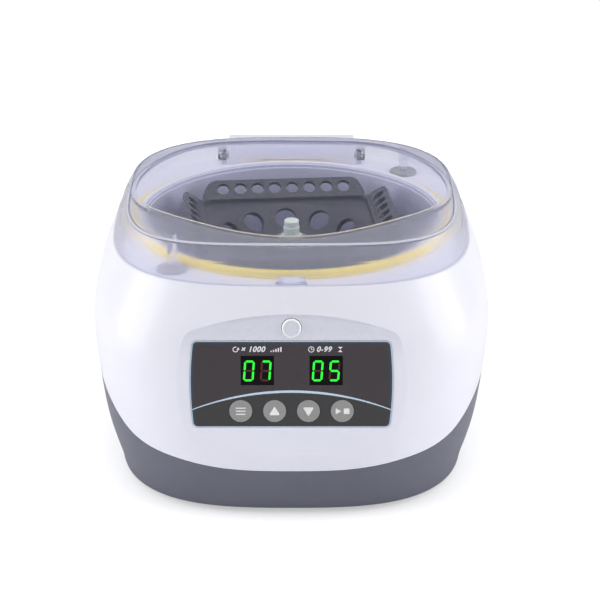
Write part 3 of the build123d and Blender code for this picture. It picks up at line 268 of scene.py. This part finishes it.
M = {}
M["housing_white"] = plastic("housing_white", lin(232, 232, 243), rough=0.30, var=0.010, grain=0.01, grain_scale=900, bevel=0.0, coat=0.15)
# painted shade: the facet's white darkens towards the top of the facet
M["housing_facet_painted_shade"] = plastic("housing_facet_painted_shade", lin(231, 232, 244), rough=0.32, var=0.010, grain=0.01, grain_scale=900, bevel=0.0, coat=0.1, painted_shade=(0.082, 0.096, lin(214, 216, 228)))
# painted highlight: the button's rim is a lighter, glossier copy of the housing white
M["button_rim_painted_highlight"] = plastic("button_rim_painted_highlight", lin(254, 254, 255), rough=0.20, var=0.005, grain=0.01, bevel=0.0, coat=0.3)
M["base_grey"] = plastic("base_grey", lin(100, 102, 116), rough=0.42, var=0.03, grain=0.05, grain_scale=1600, bevel=0.0)
M["latch_white"] = plastic("latch_white", lin(235, 235, 238), rough=0.35, var=0.02, grain=0.02)
M["bowl_lavender"] = plastic("bowl_lavender", lin(212, 213, 233), rough=0.33, var=0.02, grain=0.02, grain_scale=900, bevel=0.4, coat=0.2)
M["gasket_yellow"] = plastic("gasket_yellow", lin(255, 226, 92), rough=0.45, var=0.03, grain=0.05, sss=0.2, bevel=0.3)
M["pad_rubber"] = plastic("pad_rubber", lin(168, 168, 177), rough=0.6, var=0.05, grain=0.2, grain_scale=1800)
M["foot_rubber"] = plastic("foot_rubber", lin(44, 44, 47), rough=0.75, var=0.08, grain=0.3, grain_scale=1500)
M["rotor_grey"] = plastic("rotor_grey", lin(80, 82, 94), rough=0.36, var=0.04, grain=0.05, grain_scale=1400, bevel=0.4)
M["knob_pale"] = plastic("knob_pale", lin(226, 236, 230), rough=0.28, var=0.03, grain=0.02, sss=0.5, bevel=0.3)
M["aluminium"] = plastic("aluminium", lin(200, 202, 206), rough=0.28, var=0.03, metallic=1.0, grain=0.08)
M["steel"] = plastic("steel", lin(176, 178, 182), rough=0.3, var=0.04, metallic=1.0, grain=0.06)
M["dark_steel"] = plastic("dark_steel", lin(52, 52, 56), rough=0.4, var=0.05, metallic=0.6, grain=0.1)
M["copper"] = plastic("copper", lin(196, 116, 74), rough=0.3, var=0.08, metallic=1.0, grain=0.4, grain_scale=4000)
M["brass"] = plastic("brass", lin(204, 180, 120), rough=0.25, var=0.04, metallic=1.0, grain=0.04)
M["key_grey"] = plastic("key_grey", lin(149, 149, 149), rough=0.42, var=0.03, grain=0.06, bevel=0.15)
M["display_black"] = plastic("display_black", lin(9, 5, 7), rough=0.18, var=0.05, grain=0.0, bevel=0.2, spec=0.12)
M["pcb_green"] = plastic("pcb_green", lin(24, 92, 52), rough=0.35, var=0.12, grain=0.1, grain_scale=900)
M["black_plastic"] = plastic("black_plastic", lin(38, 38, 41), rough=0.45, var=0.05, grain=0.15, grain_scale=2200)
M["wire_red"] = plastic("wire_red", lin(170, 32, 28), rough=0.4, var=0.05, grain=0.05)
M["display_green"] = glow("display_green", (0.012, 0.86, 0.03, 1.0), 1.25)
M["display_dim"] = glow("display_dim", (0.16, 0.004, 0.006, 1.0), 0.16)
M["print_white"] = plastic("print_white", lin(238, 238, 240), rough=0.45, var=0.02, grain=0.05, bevel=0.05)
M["print_blue"] = plastic("print_blue", lin(198, 219, 236), rough=0.4, var=0.03, grain=0.05, bevel=0.05)
M["clear_lid"] = clear_plastic("clear_lid", (0.940, 0.944, 0.990, 1.0), 0.22, haze=0.03, milk=0.10, milk_color=lin(226, 227, 248), gloss=0.5, veil=0.55)
M["clear_skirt"] = clear_plastic("clear_skirt", (0.942, 0.946, 0.990, 1.0), 0.22, haze=0.03, milk=0.15, milk_color=lin(220, 220, 240), gloss=0.5, veil=0.55)
M["clear_window"] = window_plastic("clear_window", (0.975, 0.975, 0.992, 1.0), 0.035)
# painted highlight: a heavy milky lavender film makes the rim's step walls read as a light line
M["clear_rim"] = clear_plastic("clear_rim", (0.95, 0.955, 0.995, 1.0), 0.06, milk=0.45, milk_color=lin(206, 210, 250), veil=0.5)
# painted reflection: a warm yellow milky film on the front rim walls stands in for the yellow seal seen in them
M["rim_front_painted_reflection"] = clear_plastic("rim_front_painted_reflection", (0.98, 0.97, 0.93, 1.0), 0.06, milk=0.55, milk_color=lin(255, 243, 206), veil=0.5)
# painted highlight: a heavy milky white film, used on the lid's shoulder and lower edge faces
M["clear_edge"] = clear_plastic("clear_edge", (0.95, 0.955, 0.995, 1.0), 0.20, milk=0.60, milk_color=lin(236, 238, 254), veil=0.5)


def fascia_material():
    """Printed overlay: darker field above the arc, greyer field below, teal tint at the very edge."""
    n = Nodes("fascia_dark")
    bsdf = n.add("ShaderNodeBsdfPrincipled")
    vec = n.coords()
    sep = n.add("ShaderNodeSeparateXYZ")
    n.link(vec, sep.inputs[0])
    x, z = sep.outputs["X"], sep.outputs["Z"]
    v = n.math("DIVIDE", n.math("SUBTRACT", z, FACET[2] * MM), math.cos(TILT))
    x2 = n.math("MULTIPLY", x, x)
    arc = n.math("SUBTRACT", -1.6 * MM, n.math("MULTIPLY", x2, 9.0 * MM / (47.0 * MM) ** 2))
    below = n.ramp(n.math("SUBTRACT", arc, v), -0.0001, 0.0001)
    cloud = n.ramp(n.noise(60.0, 4.0, 0.6, vec), 0.3, 0.7)
    upper = n.mix(cloud, lin(63, 57, 60), lin(59, 54, 58))
    lower = n.mix(cloud, lin(61, 59, 60), lin(56, 55, 57))
    field = n.mix(below, upper, lower)
    ax = n.math("ABSOLUTE", x)
    side = n.math("SUBTRACT", 47.9 * MM, n.math("MULTIPLY", n.math("POWER", n.math("ABSOLUTE", n.math("SUBTRACT", v, 2 * MM)), 2.0), 1.3 / (21.3 ** 2) / MM))
    near_side = n.ramp(n.math("SUBTRACT", side, ax), 0.0004, 0.0022, 1.0, 0.0)
    near_top = n.ramp(n.math("SUBTRACT", 23.2 * MM, v), 0.0004, 0.0022, 1.0, 0.0)
    edge = n.math("MAXIMUM", near_side, near_top)
    col = n.mix(n.math("MULTIPLY", edge, 0.85), field, lin(50, 72, 90))
    n.link(col, bsdf.inputs["Base Color"])
    n.link(n.ramp(n.noise(500.0, 3.0, 0.6, vec), 0.3, 0.7, 0.30, 0.42), bsdf.inputs["Roughness"])
    bsdf.inputs["Specular IOR Level"].default_value = 0.35
    bump = n.add("ShaderNodeBump")
    bump.inputs["Strength"].default_value = 0.05
    bump.inputs["Distance"].default_value = 0.0001
    n.link(n.noise(5000.0, 2.0, 0.6, vec), bump.inputs["Height"])
    n.link(bump.outputs["Normal"], bsdf.inputs["Normal"])
    n.link(bsdf.outputs[0], n.out.inputs["Surface"])
    return n.mat


M["fascia_dark"] = fascia_material()

slots = {s["node"]: s["material_slot"] for s in frame["record"]["subparts"]}
for name, obj in frame["nodes"].items():
    me = obj.data
    me.materials.clear()
    me.materials.append(M[slots[name]])
    for poly in me.polygons:
        poly.material_index = 0


# the lofted shells get the exact normals of their rounded-square sections, so that light runs over them without facets
# section rows: z, half width, front depth, rear depth, front and rear roundness (mm)
BODY_FORM = [
    (3.5, 86.8, 94.6, 90.0, 2.95, 2.95),
    (15.0, 89.4, 100.4, 94.0, 2.94, 2.94),
    (35.0, 94.0, 103.5, 97.5, 3.10, 2.90),
    (65.0, 97.3, 101.1, 100.0, 3.50, 2.90),
    (90.0, 97.6, 97.2, 99.5, 3.40, 2.92),
    (105.0, 93.3, 93.6, 96.2, 3.10, 3.00),
    (117.0, 88.6, 89.8, 90.5, 3.05, 3.05),
]
LID_FORM = [
    (117.2, 88.0, 89.2, 90.0, 3.0, 3.0),
    (127.5, 84.7, 86.3, 82.2, 3.4, 2.9),
    (135.4, 80.9, 83.03, 73.67, 3.95, 2.855),
    (136.2, 79.9, 82.10, 72.20, 4.0, 2.85),
]


def natural_spline(zs, vs):
    """Second derivatives of the natural cubic through the section values."""
    k = len(zs)
    h = np.diff(zs)
    A = np.eye(k)
    r = np.zeros(k)
    for i in range(1, k - 1):
        A[i, i - 1], A[i, i], A[i, i + 1] = h[i - 1] / 6, (h[i - 1] + h[i]) / 3, h[i] / 6
        r[i] = (vs[i + 1] - vs[i]) / h[i] - (vs[i] - vs[i - 1]) / h[i - 1]
    return np.linalg.solve(A, r)


def form_value(table, column, z, seg, smooth):
    """Section value at height z, taken from segment seg of the table."""
    zs = np.array([row[0] for row in table])
    vs = np.array([row[column] for row in table])
    lo, hi = zs[seg], zs[seg + 1]
    t = (z - lo) / (hi - lo)
    v = vs[seg] * (1 - t) + vs[seg + 1] * t
    if smooth:
        m = natural_spline(zs, vs)
        h = hi - lo
        v = v + h * h / 6 * (((1 - t) ** 3 - (1 - t)) * m[seg] + (t ** 3 - t) * m[seg + 1])
    return v


def form_level(pts, seg, table, inset, smooth):
    """1 on the form's surface, less inside, more outside."""
    x, y, z = pts
    a = form_value(table, 1, z, seg, smooth) - inset
    b = np.where(y >= 0, form_value(table, 3, z, seg, smooth), form_value(table, 2, z, seg, smooth)) - inset
    n = np.where(y >= 0, form_value(table, 5, z, seg, smooth), form_value(table, 4, z, seg, smooth))
    return ((np.abs(x) / a) ** n + (np.abs(y) / b) ** n) ** (1 / n)


def shade_forms(obj, forms):
    """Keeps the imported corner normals, except on the lofted faces, which get the loft's own normals."""
    me = obj.data
    count = len(me.loops)
    normals = np.empty(count * 3)
    me.corner_normals.foreach_get("vector", normals)
    normals = normals.reshape(-1, 3)
    co = np.empty(len(me.vertices) * 3)
    me.vertices.foreach_get("co", co)
    vert = np.empty(count, dtype=np.int32)
    me.loops.foreach_get("vertex_index", vert)
    pts = co.reshape(-1, 3)[vert].T / MM
    k = len(me.polygons)
    fn = np.empty(k * 3)
    me.polygons.foreach_get("normal", fn)
    mid = np.empty(k * 3)
    me.polygons.foreach_get("center", mid)
    total = np.empty(k, dtype=np.int32)
    me.polygons.foreach_get("loop_total", total)
    face = np.repeat(np.arange(k), total)
    fn = fn.reshape(-1, 3)[face]
    mid_z = mid.reshape(-1, 3)[face][:, 2] / MM
    for table, inset, smooth in forms:
        zs = np.array([row[0] for row in table])
        seg = np.clip(np.searchsorted(zs, mid_z) - 1, 0, len(zs) - 2)
        e = 0.02
        level = form_level(pts, seg, table, inset, smooth)
        grad = []
        for axis in range(3):
            step = np.zeros((3, 1))
            step[axis] = e
            grad.append((form_level(pts + step, seg, table, inset, smooth) - form_level(pts - step, seg, table, inset, smooth)) / (2 * e))
        grad = np.array(grad).T
        size = np.linalg.norm(grad, axis=1)
        grad = grad / size[:, None]
        off = np.abs(level - 1) / size
        dot = (grad * fn).sum(axis=1)
        on = (off < 0.6) & (np.abs(dot) > math.cos(math.radians(14)))
        # a face counts only when all its corners lie on the form
        bad = np.zeros(k, dtype=bool)
        np.logical_or.at(bad, face, ~on)
        on = ~bad[face]
        normals[on] = grad[on] * np.sign(dot[on])[:, None]
    me.normals_split_custom_set(normals.tolist())


shade_forms(frame["nodes"]["lid"], [(LID_FORM, 0.0, False), (LID_FORM, 2.4, False)])
shade_forms(frame["nodes"]["upper_housing"], [(BODY_FORM, 0.0, True)])
shade_forms(frame["nodes"]["base_housing"], [(BODY_FORM, 0.0, True)])

# the lid's window plate is optically clear, the skirt and shoulder are slightly hazy; the window's rim walls and the
# lid's edge faces get heavy milky films as painted highlight, warm yellow on the front rim walls as painted reflection
# of the seal
lid = frame["nodes"]["lid"]
lid.data.materials.append(M["clear_window"])
lid.data.materials.append(M["clear_rim"])
lid.data.materials.append(M["clear_edge"])
lid.data.materials.append(M["rim_front_painted_reflection"])
lid.data.materials.append(M["clear_skirt"])
for poly in lid.data.polygons:
    c, nz = poly.center, poly.normal.z
    if abs(nz) > 0.98 and (abs(c.z - 0.1342) < 0.0003 or abs(c.z - 0.1319) < 0.0003):
        poly.material_index = 1
    elif abs(nz) < 0.1 and 0.1343 < c.z < 0.1362:
        poly.material_index = 4 if c.y < -0.02 else 2
    elif (0.4 < nz < 0.9 and c.z > 0.1352) or (nz < -0.9 and c.z < 0.1175):
        poly.material_index = 3
    elif 0.0351 < abs(c.x) < 0.0396 and c.y > 0.0815 and 0.1125 < c.z < 0.1235:
        poly.material_index = 1
    elif abs(nz) < 0.6 and c.z < 0.1354:
        poly.material_index = 5

# the recessed facet gets painted shade, darker towards its top, and the release button's face gets the same painted
# shade, while the button's rim gets a lighter, glossier white as a painted highlight
facet_out = Vector((0.0, -math.cos(TILT), math.sin(TILT)))
for node, face_slot, rest_slot in (("upper_housing", "housing_facet_painted_shade", None), ("release_button", "housing_facet_painted_shade", "button_rim_painted_highlight")):
    obj = frame["nodes"][node]
    obj.data.materials.append(M[face_slot])
    if rest_slot:
        obj.data.materials.append(M[rest_slot])
    for poly in obj.data.polygons:
        if poly.normal.dot(facet_out) > 0.999 and poly.center.y < -0.085:
            poly.material_index = 1
        elif rest_slot:
            poly.material_index = 2

# the hook's bridge is clear like the lid, only its two end prongs read darker
hook = frame["nodes"]["latch_hook"]
hook.data.materials.append(M["clear_edge"])
for poly in hook.data.polygons:
    if abs(poly.center.x) < 0.0035:
        poly.material_index = 1


# ------------------------------------------------------------- mesh helpers
def mesh_object(name, bm, material, body, smooth=False):
    me = bpy.data.meshes.new(name)
    bmesh.ops.recalc_face_normals(bm, faces=bm.faces)
    bm.to_mesh(me)
    bm.free()
    obj = bpy.data.objects.new(name, me)
    scene.collection.objects.link(obj)
    me.materials.append(material)
    if smooth:
        for p in me.polygons:
            p.use_smooth = True
    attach(obj, body)
    return obj


def slab(bm, outline, n0, n1):
    """Closed flat print of one outline, standing from n0 to n1 on the facet."""
    low = [bm.verts.new(fpt(x, v, n0)) for x, v in outline]
    top = [bm.verts.new(fpt(x, v, n1)) for x, v in outline]
    k = len(outline)
    bm.faces.new(list(reversed(low)))
    bm.faces.new(top)
    for i in range(k):
        bm.faces.new((low[i], low[(i + 1) % k], top[(i + 1) % k], top[i]))


def band(bm, outer, inner, n0, n1, closed=True):
    """Closed ribbon between two outlines with the same number of points."""
    k = len(outer)
    rows = [[bm.verts.new(fpt(x, v, n)) for x, v in line] for line, n in ((outer, n0), (inner, n0), (inner, n1), (outer, n1))]
    span = range(k) if closed else range(k - 1)
    for i in span:
        j = (i + 1) % k
        for a, b in ((0, 1), (1, 2), (2, 3), (3, 0)):
            bm.faces.new((rows[a][i], rows[a][j], rows[b][j], rows[b][i]))
    if not closed:
        for i in (0, k - 1):
            bm.faces.new([rows[a][i] for a in range(4)])


def circle(cx, cv, r, k=40, a0=0.0, a1=360.0, closed=True):
    m = k if closed else k + 1
    return [(cx + r * math.cos(math.radians(a0 + (a1 - a0) * i / k)), cv + r * math.sin(math.radians(a0 + (a1 - a0) * i / k))) for i in range(m)]


def rounded(points, r, steps=6):
    """Polygon with rounded corners."""
    out = []
    k = len(points)
    for i in range(k):
        p, q, s = Vector(points[i - 1]), Vector(points[i]), Vector(points[(i + 1) % k])
        a, b = (p - q).normalized(), (s - q).normalized()
        half = a.angle(b) / 2
        d = min(r / math.tan(half), (p - q).length * 0.45, (s - q).length * 0.45)
        rr = d * math.tan(half)
        centre = q + (a + b).normalized() * (rr / math.sin(half))
        t0, t1 = q + a * d - centre, q + b * d - centre
        a0, a1 = math.atan2(t0.y, t0.x), math.atan2(t1.y, t1.x)
        while a1 - a0 > math.pi:
            a1 -= 2 * math.pi
        while a1 - a0 < -math.pi:
            a1 += 2 * math.pi
        for j in range(steps + 1):
            t = a0 + (a1 - a0) * j / steps
            out.append((centre.x + rr * math.cos(t), centre.y + rr * math.sin(t)))
    return out


# the seal's soft lip, standing along the front half of the gasket and dying out at the sides
LIP = [(77.5, 118.6, 0.0), (79.2, 118.3, 0.0), (79.3, 119.0, 0.4), (78.9, 120.6, 1.0), (78.3, 121.2, 1.0), (77.7, 120.9, 1.0), (77.5, 119.3, 0.4)]
bm = bmesh.new()
LIP_N, LIP_SPAN = 96, 66.0
rows = []
for i in range(LIP_N + 1):
    u = 2.0 * i / LIP_N - 1.0
    a = math.radians(-90.0 + LIP_SPAN * u)
    rise = (1.0 - abs(u) ** 4) ** 0.5 if abs(u) < 1.0 else 0.0
    rows.append([bm.verts.new((r * 0.001 * math.cos(a), r * 0.001 * math.sin(a), (z - up * (z - 118.7) * (1.0 - rise)) * 0.001)) for r, z, up in LIP])
k = len(LIP)
for i in range(LIP_N):
    for j in range(k):
        bm.faces.new((rows[i][j], rows[i][(j + 1) % k], rows[i + 1][(j + 1) % k], rows[i + 1][j]))
bm.faces.new(rows[0])
bm.faces.new(list(reversed(rows[-1])))
seal_lip = mesh_object("chamber_seal_lip", bm, M["gasket_yellow"], "housing", smooth=True)

# ------------------------------------------------ printed lines on the fascia
FRONT = 0.2


def fascia_loop(d):
    """The fascia's outline moved inwards by d."""
    R, cx, cv = 162.0 - d, -114.0, 2.0
    top, bottom, r = 23.2 - d, -19.3 + d, 2.6 - d
    xt = cx + math.sqrt((R - r) ** 2 - (top - r - cv) ** 2)
    xb = cx + math.sqrt((R - r) ** 2 - (bottom + r - cv) ** 2)
    pts = []
    a_t = math.degrees(math.asin((top - r - cv) / (R - r)))
    a_b = math.degrees(math.asin((bottom + r - cv) / (R - r)))
    pts += circle(xb, bottom + r, r, 8, -90, a_b, closed=False)
    pts += [(cx + R * math.cos(math.radians(a_b + (a_t - a_b) * i / 12)), cv + R * math.sin(math.radians(a_b + (a_t - a_b) * i / 12))) for i in range(1, 12)]
    pts += circle(xt, top - r, r, 8, a_t, 90, closed=False)
    pts += [(-x, v) for x, v in reversed(pts)]
    return pts


bm = bmesh.new()
band(bm, fascia_loop(0.12), fascia_loop(0.50), FRONT, FRONT + 0.04)
mesh_object("fascia_border_line", bm, M["print_blue"], "housing")

bm = bmesh.new()
R_ARC = (47.2 ** 2 + 9.0 ** 2) / 18.0
top_line, low_line = [], []
for i in range(65):
    x = -47.05 + 94.1 * i / 64
    v = -1.6 - R_ARC + math.sqrt(R_ARC ** 2 - x * x)
    w = 0.22 + 0.38 * (1 - (abs(x) / 47.2) ** 1.6)
    top_line.append((x, v + w))
    low_line.append((x, v - w))
band(bm, top_line, low_line, FRONT, FRONT + 0.04, closed=False)
mesh_object("fascia_arc_line", bm, M["print_blue"], "housing")


def text_outline_object(name, text, size, x, v, n, body, material, shear=0.0, spacing=1.0, align="LEFT", thick=0.0):
    """Generic numerals as a thin raised print on the facet."""
    cu = bpy.data.curves.new(name, "FONT")
    cu.body = text
    cu.size = size * MM
    cu.align_x = align
    cu.align_y = "CENTER"
    cu.shear = shear
    cu.space_character = spacing
    cu.extrude = 0.02 * MM
    cu.offset = thick * MM
    cu.resolution_u = 4
    tmp = bpy.data.objects.new(name + "_tmp", cu)
    scene.collection.objects.link(tmp)
    bpy.context.view_layer.update()
    me = bpy.data.meshes.new_from_object(tmp.evaluated_get(bpy.context.evaluated_depsgraph_get()))
    bpy.data.objects.remove(tmp)
    me.name = name
    for vert in me.vertices:
        lx, lv, ln = vert.co / MM
        vert.co = fpt(x + lx, v + lv, n + 0.02 + ln)
    obj = bpy.data.objects.new(name, me)
    scene.collection.objects.link(obj)
    me.materials.clear()
    me.materials.append(material)
    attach(obj, body)
    return obj


# speed legend: turning arrow and numerals; time legend: clock and numerals
LEG_V = 19.0
bm = bmesh.new()
cx = -26.3
band(bm, circle(cx, LEG_V, 1.35, 26, 70, 350, closed=False), circle(cx, LEG_V, 0.95, 26, 70, 350, closed=False), FRONT, FRONT + 0.04, closed=False)
slab(bm, [(cx + 0.45, LEG_V - 0.15), (cx + 1.95, LEG_V - 0.05), (cx + 1.3, LEG_V + 1.05)][::-1], FRONT, FRONT + 0.04)
mesh_object("legend_speed_icon", bm, M["print_white"], "housing")
text_outline_object("legend_speed_numerals", "× 1000", 3.7, -23.9, LEG_V, FRONT, "housing", M["print_white"], shear=0.25, spacing=1.08, thick=0.10)
bm = bmesh.new()
for i in range(5):
    x0 = -9.9 + 1.15 * i
    slab(bm, [(x0, LEG_V - 1.2), (x0 + 0.62, LEG_V - 1.2), (x0 + 0.62, LEG_V - 0.62 + 0.45 * i), (x0, LEG_V - 0.62 + 0.45 * i)], FRONT, FRONT + 0.04)
mesh_object("legend_speed_bars", bm, M["print_white"], "housing")

bm = bmesh.new()
cx = 9.3
band(bm, circle(cx, LEG_V, 1.45, 28), circle(cx, LEG_V, 1.1, 28), FRONT, FRONT + 0.04)
slab(bm, [(cx - 0.15, LEG_V - 0.15), (cx + 0.15, LEG_V - 0.15), (cx + 0.15, LEG_V + 0.85), (cx - 0.15, LEG_V + 0.85)], FRONT, FRONT + 0.04)
slab(bm, [(cx + 0.15, LEG_V - 0.15), (cx + 0.75, LEG_V - 0.15), (cx + 0.75, LEG_V + 0.12), (cx + 0.15, LEG_V + 0.12)], FRONT, FRONT + 0.04)
mesh_object("legend_time_icon", bm, M["print_white"], "housing")
text_outline_object("legend_time_numerals", "0-99", 3.6, 11.7, LEG_V, FRONT, "housing", M["print_white"], shear=0.25, spacing=1.08, thick=0.09)
bm = bmesh.new()
gx = 22.9
slab(bm, [(gx - 1.1, LEG_V + 1.25), (gx, LEG_V + 0.12), (gx + 1.1, LEG_V + 1.25)], FRONT, FRONT + 0.04)
slab(bm, [(gx - 1.1, LEG_V - 1.25), (gx + 1.1, LEG_V - 1.25), (gx, LEG_V - 0.12)], FRONT, FRONT + 0.04)
mesh_object("legend_time_glass", bm, M["print_white"], "housing")

# key icons, one print per key so that each moves with its key
KEY_V, KEY_TOP = -11.2, 0.5
bm = bmesh.new()
for dv in (1.5, 0.0, -1.5):
    slab(bm, rounded([(-24 - 2.3, KEY_V + dv - 0.26), (-24 + 2.3, KEY_V + dv - 0.26), (-24 + 2.3, KEY_V + dv + 0.26), (-24 - 2.3, KEY_V + dv + 0.26)], 0.2, 3), KEY_TOP - 0.02, KEY_TOP + 0.05)
mesh_object("key_set_icon", bm, M["print_white"], "key_set")
bm = bmesh.new()
slab(bm, rounded([(-8 - 2.65, KEY_V - 2.0), (-8 + 2.65, KEY_V - 2.0), (-8, KEY_V + 2.5)], 0.45), KEY_TOP - 0.02, KEY_TOP + 0.05)
mesh_object("key_up_icon", bm, M["print_white"], "key_up")
bm = bmesh.new()
slab(bm, rounded([(8 - 2.65, KEY_V + 1.9), (8, KEY_V - 2.6), (8 + 2.65, KEY_V + 1.9)], 0.45), KEY_TOP - 0.02, KEY_TOP + 0.05)
mesh_object("key_down_icon", bm, M["print_white"], "key_down")
bm = bmesh.new()
slab(bm, rounded([(24 - 3.1, KEY_V - 1.5), (24 - 0.5, KEY_V), (24 - 3.1, KEY_V + 1.5)], 0.2, 3), KEY_TOP - 0.02, KEY_TOP + 0.05)
slab(bm, rounded([(24 + 0.7, KEY_V - 1.35), (24 + 3.4, KEY_V - 1.35), (24 + 3.4, KEY_V + 1.35), (24 + 0.7, KEY_V + 1.35)], 0.2, 3), KEY_TOP - 0.02, KEY_TOP + 0.05)
mesh_object("key_start_icon", bm, M["print_white"], "key_start")

# ------------------------------------------------------------- stage, lights
bm = bmesh.new()
bmesh.ops.create_grid(bm, x_segments=1, y_segments=1, size=6.0)
me = bpy.data.meshes.new("floor")
bm.to_mesh(me)
bm.free()
floor = bpy.data.objects.new("floor", me)
scene.collection.objects.link(floor)
fl = Nodes("floor_pale")
fb = fl.add("ShaderNodeBsdfPrincipled")
fl.link(fl.mix(fl.noise(3.0, 2.0), lin(250, 250, 252), lin(247, 247, 250)), fb.inputs["Base Color"])
fb.inputs["Roughness"].default_value = 0.9
fb.inputs["Specular IOR Level"].default_value = 0.1
lift = fl.add("ShaderNodeEmission")
lift.inputs["Color"].default_value = (1.0, 1.0, 1.0, 1.0)
fl.link(fl.math("MULTIPLY", fl.add("ShaderNodeLightPath").outputs["Is Camera Ray"], 0.42), lift.inputs["Strength"])
lifted = fl.add("ShaderNodeAddShader")
fl.link(fb.outputs[0], lifted.inputs[0])
fl.link(lift.outputs[0], lifted.inputs[1])
fl.link(lifted.outputs[0], fl.out.inputs["Surface"])
me.materials.append(fl.mat)

world = bpy.data.worlds.new("studio")
scene.world = world
world.use_nodes = True
bg = world.node_tree.nodes["Background"]
bg.inputs["Color"].default_value = (1.0, 1.0, 1.0, 1.0)
wpath = world.node_tree.nodes.new("ShaderNodeLightPath")
wlevel = world.node_tree.nodes.new("ShaderNodeMapRange")
wlevel.inputs["To Min"].default_value = 0.52
wlevel.inputs["To Max"].default_value = 1.0
world.node_tree.links.new(wpath.outputs["Is Camera Ray"], wlevel.inputs["Value"])
world.node_tree.links.new(wlevel.outputs["Result"], bg.inputs["Strength"])


def area(name, loc, target, sx, sy, power, color=(1, 1, 1)):
    light = bpy.data.lights.new(name, "AREA")
    light.shape = "RECTANGLE"
    light.size, light.size_y = sx, sy
    light.energy = power
    light.color = color
    obj = bpy.data.objects.new(name, light)
    scene.collection.objects.link(obj)
    obj.location = loc
    obj.rotation_euler = (Vector(target) - Vector(loc)).to_track_quat("-Z", "Y").to_euler()
    return obj


area("top_soft", (0.0, 0.05, 1.25), (0, 0, 0.08), 1.5, 1.5, 5.2)
area("left_soft", (-1.15, -0.25, 0.40), (0, 0, 0.06), 0.9, 1.0, 7.8)
area("right_soft", (1.15, -0.25, 0.40), (0, 0, 0.06), 0.9, 1.0, 7.8)
area("front_soft", (0.0, -1.6, 0.75), (0, 0, 0.07), 1.2, 0.6, 0.3)

cam = bpy.data.cameras.new("camera")
cam.sensor_width = 36.0
cam.lens = 36.0 * 2243.18 / 600.0
cam.shift_x = (300.0 - 291.5) / 600.0
cam.shift_y = -(300.0 - 323.31) / 600.0
cam.clip_start, cam.clip_end = 0.05, 30.0
camera = bpy.data.objects.new("camera", cam)
scene.collection.objects.link(camera)
PITCH = math.radians(23.38)
camera.location = (0.0, -1.151 * math.cos(PITCH), 0.060 + 1.151 * math.sin(PITCH))
camera.rotation_euler = (math.pi / 2 - PITCH, 0.0, 0.0)
scene.camera = camera

scene.view_settings.view_transform = "Standard"
scene.view_settings.look = "None"
scene.cycles.max_bounces = 16
scene.cycles.transmission_bounces = 14
scene.cycles.transparent_max_bounces = 16
scene.cycles.caustics_refractive = False
scene.cycles.caustics_reflective = False
scene.cycles.denoising_input_passes = "RGB"
